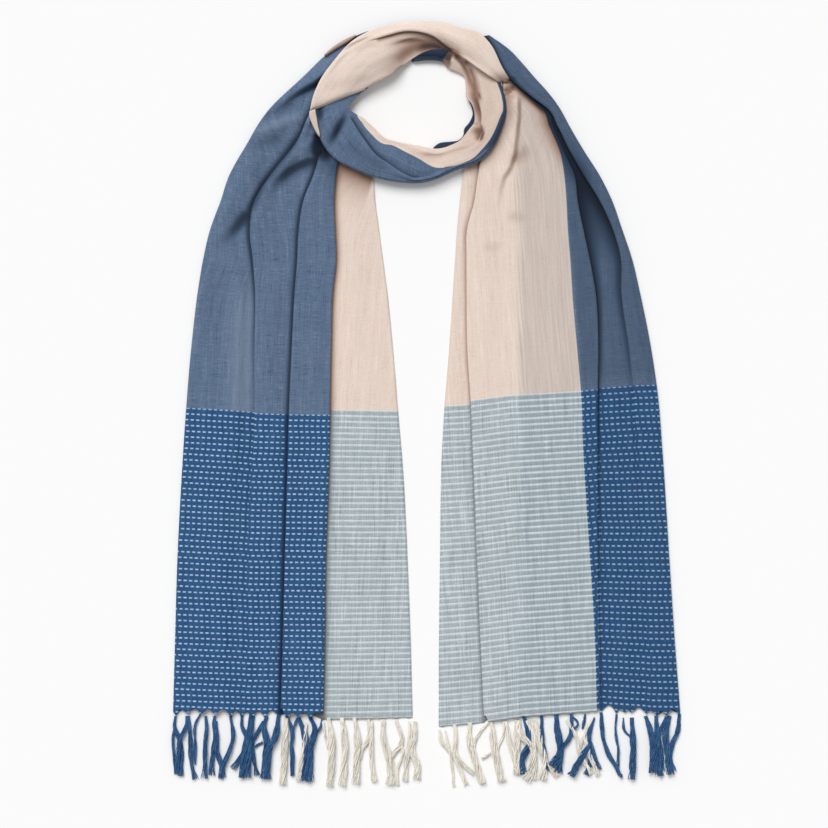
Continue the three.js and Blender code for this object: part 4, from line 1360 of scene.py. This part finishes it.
RIGHT_CREAM = (
    plain((110, 520), (120, 570), (200, 680), (275, 860)),
    thin((145, 520), (160, 600), (180, 700), (200, 870)),
    plain((200, 490), (205, 560), (200, 640), (330, 790)),
    thick((290, 480), (285, 570), (320, 700), (370, 850)),
    thin((395, 480), (340, 540), (310, 610), (318, 680)),
    thick((415, 470), (425, 600), (455, 740), (480, 840)),
    thin((490, 470), (480, 560), (450, 640), (458, 720)),
    thin((410, 650), (355, 690)),
    plain((500, 470), (520, 600), (555, 720), (560, 800)),
    thick((560, 465), (560, 640), (570, 790)),
    thick((575, 465), (580, 540), (650, 620), (640, 760), (600, 830)),
    plain((620, 465), (650, 540), (665, 700), (660, 830)),
    thick((650, 460), (680, 560), (720, 700), (700, 830)),
    plain((665, 460), (700, 560), (730, 690), (810, 810)),
    plain((850, 460), (900, 550), (930, 660), (1010, 790)),
    thin((1010, 440), (950, 560), (930, 640), (940, 690)),
    plain((950, 560), (990, 680), (1040, 800)),
)
RIGHT_BLUE = (
    thick((600, 440), (620, 500), (640, 580), (590, 700), (600, 800)),
    plain((705, 440), (710, 580), (750, 780)),
    thick((790, 430), (795, 520), (815, 640), (745, 745)),
    thick((792, 440), (800, 540), (815, 640), (800, 790)),
    plain((880, 430), (870, 560), (820, 640), (815, 700)),
    thin((875, 430), (915, 490), (890, 520), (880, 570)),
    thin((960, 430), (955, 460), (940, 520)),
    plain((1010, 450), (980, 560), (1000, 640), (1050, 770)),
    thick((985, 600), (930, 690), (870, 800)),
    plain((985, 640), (980, 740), (960, 790)),
    plain((1050, 420), (1070, 600), (1140, 740), (1170, 790), (1200, 790)),
    thin((1140, 430), (1135, 540), (1150, 640), (1150, 760)),
    thin((1180, 450), (1185, 520), (1225, 570), (1234, 640)),
    thick((1230, 450), (1235, 600), (1230, 830)),
    thick((1310, 440), (1335, 520), (1350, 640), (1345, 790)),
    thick((1370, 440), (1375, 560), (1380, 700), (1395, 810)),
    plain((1430, 445), (1385, 560), (1400, 640), (1400, 780)),
    thick((1450, 440), (1425, 540), (1440, 680), (1450, 800)),
    plain((1505, 430), (1500, 500), (1455, 640), (1465, 780)),
)


@dataclass(frozen=True)
class HemView:
    """Place and zoom of an enlarged view of a hem, in pixels of the photograph."""

    left: float
    top: float = 640.0
    zoom: float = 5.807

    def place(self, point: tuple[float, float]) -> tuple[float, float]:
        """Place on the surface of a point of the view."""
        return (float(PHOTO.x(self.left + point[0] / self.zoom)),
                float(PHOTO.y(self.top + point[1] / self.zoom)))


@dataclass(frozen=True)
class FringeFacts:
    """What a fringe is called, the node and slot it stands for, and how it is drawn.

    The view is the one that the threads' pixels belong to, height is the height of the roots in
    millimetres, and seed starts the random numbers.
    """

    name: str
    node: str
    slot: str
    view: HemView
    threads: tuple[Thread, ...]
    height: float
    seed: int


LEFT_HEM, RIGHT_HEM = HemView(160.0), HemView(420.0)
FRINGES = (
    FringeFacts("LeftFringeBlue", "left_fringe_blue", "blue_yarn", LEFT_HEM, LEFT_BLUE, 2.4, 5),
    FringeFacts("LeftFringeCream", "left_fringe_cream", "cream_yarn", LEFT_HEM, LEFT_CREAM, 3.6, 6),
    FringeFacts("RightFringeCream", "right_fringe_cream", "cream_yarn", RIGHT_HEM, RIGHT_CREAM, 2.4,
                7),
    FringeFacts("RightFringeBlue", "right_fringe_blue", "blue_yarn", RIGHT_HEM, RIGHT_BLUE, 1.6, 8),
)


class Fringe:
    """The threads of one colour along one hem, each a bundle of fine twisted yarns."""

    YARN = 0.42 * MM
    STEPS = 18
    GOLDEN_ANGLE = 2.399963
    ROOT_LINE = 500.0
    LAYER = 1.1 * MM

    def __init__(self, facts: FringeFacts, material: bpy.types.Material) -> None:
        """Builds the fringe.

        Args:
            facts: its names, threads and place.
            material: yarn material.
        """
        self.dice = np.random.default_rng(facts.seed)
        self.view, self.height = facts.view, facts.height * MM
        curve = bpy.data.curves.new(facts.name, "CURVE")
        curve.dimensions = "3D"
        curve.bevel_depth = self.YARN
        curve.bevel_resolution = 0
        curve.use_fill_caps = True
        for index, thread in enumerate(facts.threads):
            self.spin(curve, thread, index)
        drawn = bpy.data.objects.new(facts.name, curve)
        bpy.context.collection.objects.link(drawn)
        bpy.ops.object.select_all(action="DESELECT")
        drawn.select_set(True)
        bpy.context.view_layer.objects.active = drawn
        bpy.ops.object.convert(target="MESH")
        piece = bpy.context.active_object
        piece.name = piece.data.name = facts.name
        bpy.ops.object.shade_smooth()
        piece.data.materials.clear()
        piece.data.materials.append(material)
        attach(piece, "root")
        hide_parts(facts.node)
        LOG.info("%s: %d triangles", facts.name,
                 sum(len(face.vertices) - 2 for face in piece.data.polygons))

    def spin(self, curve: bpy.types.Curve, thread: Thread, index: int) -> None:
        """Adds the yarns of one thread to the curve."""
        points = np.array([self.view.place(point) for point in thread.path])
        reach = np.concatenate([[0], np.cumsum(np.hypot(*np.diff(points, axis=0).T))])
        t = np.linspace(0, 1, self.STEPS)
        x = spaced(reach, points[:, 0], t * reach[-1])
        y = spaced(reach, points[:, 1], t * reach[-1])
        girth = thread.girth * MM
        is_root = thread.path[0][1] < self.ROOT_LINE
        lift = self.LAYER * (index % 3)
        root = self.height if is_root else girth + 1.5 * MM
        centre = girth * 0.75 + 0.5 * MM
        z = centre + (root - centre) * (1 - smooth(t * 2.2)) + lift * np.sin(math.pi * t)
        ahead = np.stack([np.gradient(x), np.gradient(y)])
        ahead = ahead / np.hypot(*ahead)
        side_x, side_y = -ahead[1], ahead[0]
        swell = girth * (0.45 + 0.4 * smooth(t * 3) + 0.3 * smooth((t - 0.8) * 5))
        for ply in range(thread.plies):
            radius = math.sqrt((ply + 0.5) / thread.plies)
            start = ply * self.GOLDEN_ANGLE + self.dice.uniform(0, 0.6)
            twist = 2.2 * self.dice.uniform(0.8, 1.2)
            waver = self.dice.uniform(0.2, 0.5) * MM * np.sin(
                t * self.dice.uniform(6, 14) + self.dice.uniform(0, 6.3))
            angle = start + twist * math.pi * t
            flare = self.dice.normal(0, 0.35) * girth * smooth((t - 0.72) * 3.6)
            across = swell * radius * np.cos(angle) + waver + flare
            up = 0.75 * swell * radius * np.sin(angle) + np.abs(flare) * 0.4
            cut = self.dice.uniform(0.94, 1.0)
            keep = max(6, int(self.STEPS * cut))
            spline = curve.splines.new("POLY")
            spline.points.add(keep - 1)
            for i in range(keep):
                height = max(float(z[i] + up[i]), self.YARN * 1.15)
                spline.points[i].co = (float(x[i] + side_x[i] * across[i]),
                                       float(y[i] + side_y[i] * across[i]), height, 1)
                spline.points[i].radius = 1.0 if i < keep - 1 else 0.55


# Materials.


class Nodes:
    """A node tree that is written as sums."""

    def __init__(self, name: str) -> None:
        """Starts an empty tree in a new material."""
        self.material = bpy.data.materials.new(name)
        self.material.use_nodes = True
        self.tree = self.material.node_tree
        self.tree.nodes.clear()

    def make(self, kind: str, inputs: dict[str | int, object] | None = None,
             **settings: object) -> bpy.types.Node:
        """Makes a node, sets it up and links or fills its inputs.

        Args:
            kind: type name of the node.
            inputs: value or socket for each input, by name or index.
            **settings: properties of the node.

        Returns:
            The new node.
        """
        node = self.tree.nodes.new(kind)
        for key, value in settings.items():
            setattr(node, key, value)
        for key, value in (inputs or {}).items():
            if isinstance(value, Socket):
                self.tree.links.new(value.socket, node.inputs[key])
            else:
                node.inputs[key].default_value = value
        return node

    def out(self, node: bpy.types.Node, name: str | int = 0) -> "Socket":
        """An output of a node, ready for sums."""
        return Socket(self, node.outputs[name])

    def math(self, operation: str, *values: object) -> "Socket":
        """A sum of one to three values."""
        node = self.make("ShaderNodeMath", dict(enumerate(values)), operation=operation)
        return self.out(node)

    def noise(self, vector: "Socket", scale: float, detail: float = 2.0) -> "Socket":
        """Soft noise around one half."""
        node = self.make("ShaderNodeTexNoise", {"Vector": vector, "Scale": scale, "Detail": detail})
        return self.out(node, "Fac")

    def plane(self, x: object, y: object, z: object = 0.0) -> "Socket":
        """A vector of three values."""
        return self.out(self.make("ShaderNodeCombineXYZ", {0: x, 1: y, 2: z}))

    def mix(self, factor: object, first: object, second: object) -> "Socket":
        """A colour between two others."""
        def full(colour: object) -> object:
            """A plain colour with its alpha, or the socket as it is."""
            return colour if isinstance(colour, Socket) else (*colour, 1.0)
        node = self.make("ShaderNodeMix", {0: factor, 6: full(first), 7: full(second)},
                         data_type="RGBA", clamp_factor=True)
        return self.out(node, 2)

    def bump(self, height: "Socket", distance: float, strength: float = 1.0) -> "Socket":
        """A normal bent by a height in metres."""
        node = self.make("ShaderNodeBump",
                         {"Height": height, "Distance": distance, "Strength": strength})
        return self.out(node)

    def finish(self, colour: "Socket", roughness: float, normal: "Socket",
               sheen: float) -> bpy.types.Material:
        """Closes the tree with a cloth surface."""
        shader = self.make("ShaderNodeBsdfPrincipled", {
            "Base Color": colour, "Roughness": roughness, "Normal": normal,
            "Sheen Weight": sheen, "Sheen Roughness": 0.5, "Specular IOR Level": 0.12,
        })
        self.make("ShaderNodeOutputMaterial", {"Surface": self.out(shader)})
        return self.material


class Socket:
    """One value of a node tree that can be added, subtracted, multiplied and divided."""

    def __init__(self, nodes: Nodes, socket: bpy.types.NodeSocket) -> None:
        """Wraps an output socket of the tree."""
        self.nodes = nodes
        self.socket = socket

    def __add__(self, other: object) -> "Socket":
        """Sum."""
        return self.nodes.math("ADD", self, other)

    def __sub__(self, other: object) -> "Socket":
        """Difference."""
        return self.nodes.math("SUBTRACT", self, other)

    def __rsub__(self, other: object) -> "Socket":
        """Reflected difference."""
        return self.nodes.math("SUBTRACT", other, self)

    def __mul__(self, other: object) -> "Socket":
        """Product."""
        return self.nodes.math("MULTIPLY", self, other)

    def __truediv__(self, other: object) -> "Socket":
        """Quotient."""
        return self.nodes.math("DIVIDE", self, other)

    def fraction(self) -> "Socket":
        """Part after the point."""
        return self.nodes.math("FRACT", self)

    def floor(self) -> "Socket":
        """Whole part."""
        return self.nodes.math("FLOOR", self)

    def absolute(self) -> "Socket":
        """Value without its sign."""
        return self.nodes.math("ABSOLUTE", self)

    def ramp(self, low: float, high: float) -> "Socket":
        """Eased share of the way from low to high, where low may be the greater."""
        node = self.nodes.make("ShaderNodeMapRange", {"Value": self, 1: low, 2: high, 3: 0.0, 4: 1.0},
                               interpolation_type="SMOOTHSTEP", clamp=True)
        return self.nodes.out(node)


class ClothMaterial:
    """Handwoven cloth: blush beside slate blue, with a stitched panel at each end."""

    def __init__(self) -> None:
        """Reads the flat coordinates and builds the material."""
        self.nodes = Nodes("HandwovenCloth")
        uv = self.nodes.make("ShaderNodeUVMap", uv_map="UVMap")
        parts = self.nodes.make("ShaderNodeSeparateXYZ", {0: self.nodes.out(uv)})
        self.u = self.nodes.out(parts, "X")
        self.v = self.nodes.out(parts, "Y")
        self.material = self.build()

    def grain(self, grain: Grain) -> Socket:
        """Noise of the weave, around zero."""
        place = self.nodes.plane(self.u * grain.across, self.v * grain.along, grain.place)
        return self.nodes.noise(place, 1.0, grain.detail) - 0.5

    def painted(self, name: str) -> Socket:
        """A value that the stretches carry at their points."""
        return self.nodes.out(self.nodes.make("ShaderNodeAttribute", attribute_name=name), "Fac")

    def streaks(self) -> tuple[Socket, Socket]:
        """Slubby warp streaks along the cloth and weft streaks across it, around zero."""
        along = self.grain(WARP_GRAIN) * 0.9 + self.grain(BROAD_GRAIN) * 0.45
        across = self.grain(WEFT_GRAIN) * 0.9 + self.grain(BAND_GRAIN) * 0.25
        return along + self.grain(FLECK_GRAIN) * 0.5, across

    def toned(self, finish: Finish, tone: Socket) -> Socket:
        """A colour that moves to its light and dark sides with the streaks."""
        lighter = self.nodes.mix(tone.ramp(0.0, 0.45), finish.body, finish.light)
        return self.nodes.mix(tone.ramp(0.0, -0.45), lighter, finish.dark)

    def build(self) -> bpy.types.Material:
        """The whole node tree."""
        n, w = self.nodes, WEAVE
        warp, weft = self.streaks()
        blue = self.u.ramp(w.blush_end - w.colour_edge, w.blush_end + w.colour_edge)
        tone = warp * 0.75 + weft * 0.75
        veil = self.painted("under_blue")
        streak = self.grain(VEIL_GRAIN)
        veil = (veil + streak * veil * (1 - veil) * 7).ramp(0.0, 1.0)
        # painted shade of the folds and of parts in shade, mixed into the colour below
        hollow = self.painted("hollow")
        veiling = veil * (streak * 0.9 + 0.5)
        plain_blush = n.mix(veiling, self.toned(BLUSH, warp * 1.15 + weft * 0.45), VEILED_BLUSH)
        # painted highlight: lit crests of the slate cloth are painted towards its light colour
        painted_highlight_share = self.painted("pale") * (warp * 1.5 + 0.85)
        body = n.mix(blue, plain_blush, n.mix(painted_highlight_share, self.toned(SLATE, tone * 1.4), SLATE.light))

        waver = self.grain(WAVER_GRAIN) * w.row_waver
        row = (self.v - w.first_row + waver) / w.row_pitch + 0.5
        offset = (row.fraction() - 0.5).absolute() * w.row_pitch
        jitter = (n.noise(n.plane(row.floor() * 7.31, 0.5), 1.0, 0.0) - 0.5) * 0.9
        dash = (self.u / w.dash_pitch + jitter).fraction()
        dash_edge = (dash - 0.5).absolute()
        in_dash = dash_edge.ramp(w.dash_share / 2 + w.dash_blur, w.dash_share / 2 - w.dash_blur)
        line = offset.ramp(w.dash_height / 2 + w.line_blur, w.dash_height / 2 - w.line_blur)
        wide = offset.ramp(*w.pale_line)
        heather = self.grain(HEATHER_GRAIN)
        spark = n.noise(n.plane(self.u * 170, row.floor() * 3.3), 1.0, 1.0)
        navy = n.mix(in_dash * line * (spark * 0.7 + 0.5), self.toned(NAVY, tone * 1.2), DASH_WEFT)
        dimmer = n.mix(veil * 0.35, self.toned(GREY, tone * 1.2 + heather * 0.9), VEILED_GREY)
        grey = n.mix(wide * (heather * 1.2 + 0.7), dimmer, PALE_WEFT)
        panel_cloth = n.mix(blue, grey, navy)
        in_panel = self.v.ramp(w.panel_length + w.panel_edge, w.panel_length - w.panel_edge)
        bare = n.mix(in_panel, body, panel_cloth)
        # painted shade: the colour goes to the shade colour and then to the deep shade colour
        shade = n.mix(in_panel, n.mix(blue, BLUSH.shade, SLATE.shade),
                      n.mix(blue, GREY.shade, NAVY.shade))
        deep = n.mix(in_panel, n.mix(blue, BLUSH.deep, SLATE.deep), n.mix(blue, GREY.deep, NAVY.deep))
        colour = n.mix((hollow - 0.5) * 2, n.mix(hollow * 2, bare, shade), deep)

        height = warp * 0.5 + weft * 0.5 + in_panel * line * (in_dash * blue + (1 - blue)) * 0.9
        normal = n.bump(height, 0.0006, 0.55)
        return n.finish(colour, CLOTH_ROUGHNESS, normal, 0.08)


class YarnMaterial:
    """Twisted fringe yarn with lighter and darker fibres."""

    def __init__(self, name: str, finish: YarnFinish) -> None:
        """Builds the material of one yarn."""
        n = Nodes(name)
        place = n.out(n.make("ShaderNodeTexCoord"), "Object")
        fibres = n.noise(place, 900.0, 2.0) - 0.5
        strands = n.noise(place, 160.0, 1.0) - 0.5
        tone = fibres * 0.9 + strands * 0.9
        lighter = n.mix(tone.ramp(0.0, 0.4), finish.body, finish.light)
        colour = n.mix(tone.ramp(0.0, -0.4), lighter, finish.dark)
        normal = n.bump(fibres, 0.0004, 0.6)
        self.material = n.finish(colour, finish.roughness, normal, 0.1)


# Stage.


@dataclass(frozen=True)
class Lighting:
    """The far, wide key light, the even light of the world, and the pale floor."""

    place: tuple[float, float, float] = (-0.6, 1.6, 2.3)
    spread: float = 34.0
    strength: float = 2.38
    world: float = 0.42
    floor_size: float = 12.0
    floor_tone: tuple[float, float, float, float] = (0.94, 0.94, 0.94, 1.0)
    floor_gap: float = 0.2 * MM


class Stage:
    """Camera, pale floor, key light and the world."""

    def __init__(self) -> None:
        """Finds the middle of the photograph on the surface."""
        self.lighting = Lighting()
        self.centre = Vector((PHOTO.x(PHOTO.middle), PHOTO.y(PHOTO.middle), 0.0))

    def camera(self) -> None:
        """The photograph's view, straight down through a long lens."""
        lens = Lens()
        data = bpy.data.cameras.new("Camera")
        data.lens, data.sensor_width = lens.focal, lens.sensor
        data.clip_end = 20.0
        camera = bpy.data.objects.new("Camera", data)
        distance = PHOTO.width * PHOTO.pixel * lens.focal / lens.sensor
        camera.location = self.centre + Vector((0, 0, distance))
        bpy.context.collection.objects.link(camera)
        bpy.context.scene.camera = camera

    def key_light(self) -> None:
        """A wide, far light that shines evenly over the whole scarf."""
        data = bpy.data.lights.new("KeyLight", "SUN")
        data.angle, data.energy = math.radians(self.lighting.spread), self.lighting.strength
        lamp = bpy.data.objects.new("KeyLight", data)
        away = Vector(self.lighting.place)
        lamp.location = self.centre + away
        lamp.rotation_euler = (-away).to_track_quat("-Z", "Y").to_euler()
        bpy.context.collection.objects.link(lamp)

    def surroundings(self) -> None:
        """Floor, key light and world."""
        bpy.ops.object.select_all(action="DESELECT")
        bpy.ops.mesh.primitive_plane_add(size=self.lighting.floor_size,
                                         location=(0, 0, -self.lighting.floor_gap))
        floor = bpy.context.active_object
        floor.name = "Floor"
        nodes = Nodes("PaleFloor")
        shader = nodes.make("ShaderNodeBsdfPrincipled", {
            "Base Color": self.lighting.floor_tone, "Roughness": 0.95, "Specular IOR Level": 0.0})
        nodes.make("ShaderNodeOutputMaterial", {"Surface": nodes.out(shader)})
        floor.data.materials.append(nodes.material)
        self.key_light()
        world = bpy.data.worlds.new("World")
        world.use_nodes = True
        background = world.node_tree.nodes["Background"]
        background.inputs["Color"].default_value = (1.0, 1.0, 1.0, 1.0)
        background.inputs["Strength"].default_value = self.lighting.world
        bpy.context.scene.world = world
        bpy.context.scene.view_settings.view_transform = "Standard"
        bpy.context.scene.view_settings.look = "None"


def main() -> None:
    """Builds the stage, the stretches of cloth and the fringes."""
    logging.basicConfig(level=logging.INFO)
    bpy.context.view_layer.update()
    stage = Stage()
    stage.camera()
    cloth = ClothMaterial().material
    for stretch in (LeftTail, RightTail, NeckBand, FrontLoop, InnerLayer, OuterEdge, CornerFlap):
        stretch(cloth)
    yarns = {
        "blue_yarn": YarnMaterial("BlueYarn", BLUE_YARN).material,
        "cream_yarn": YarnMaterial("CreamYarn", CREAM_YARN).material,
    }
    for facts in FRINGES:
        Fringe(facts, yarns[facts.slot])
    stage.surroundings()


if __name__ == "__main__":
    main()
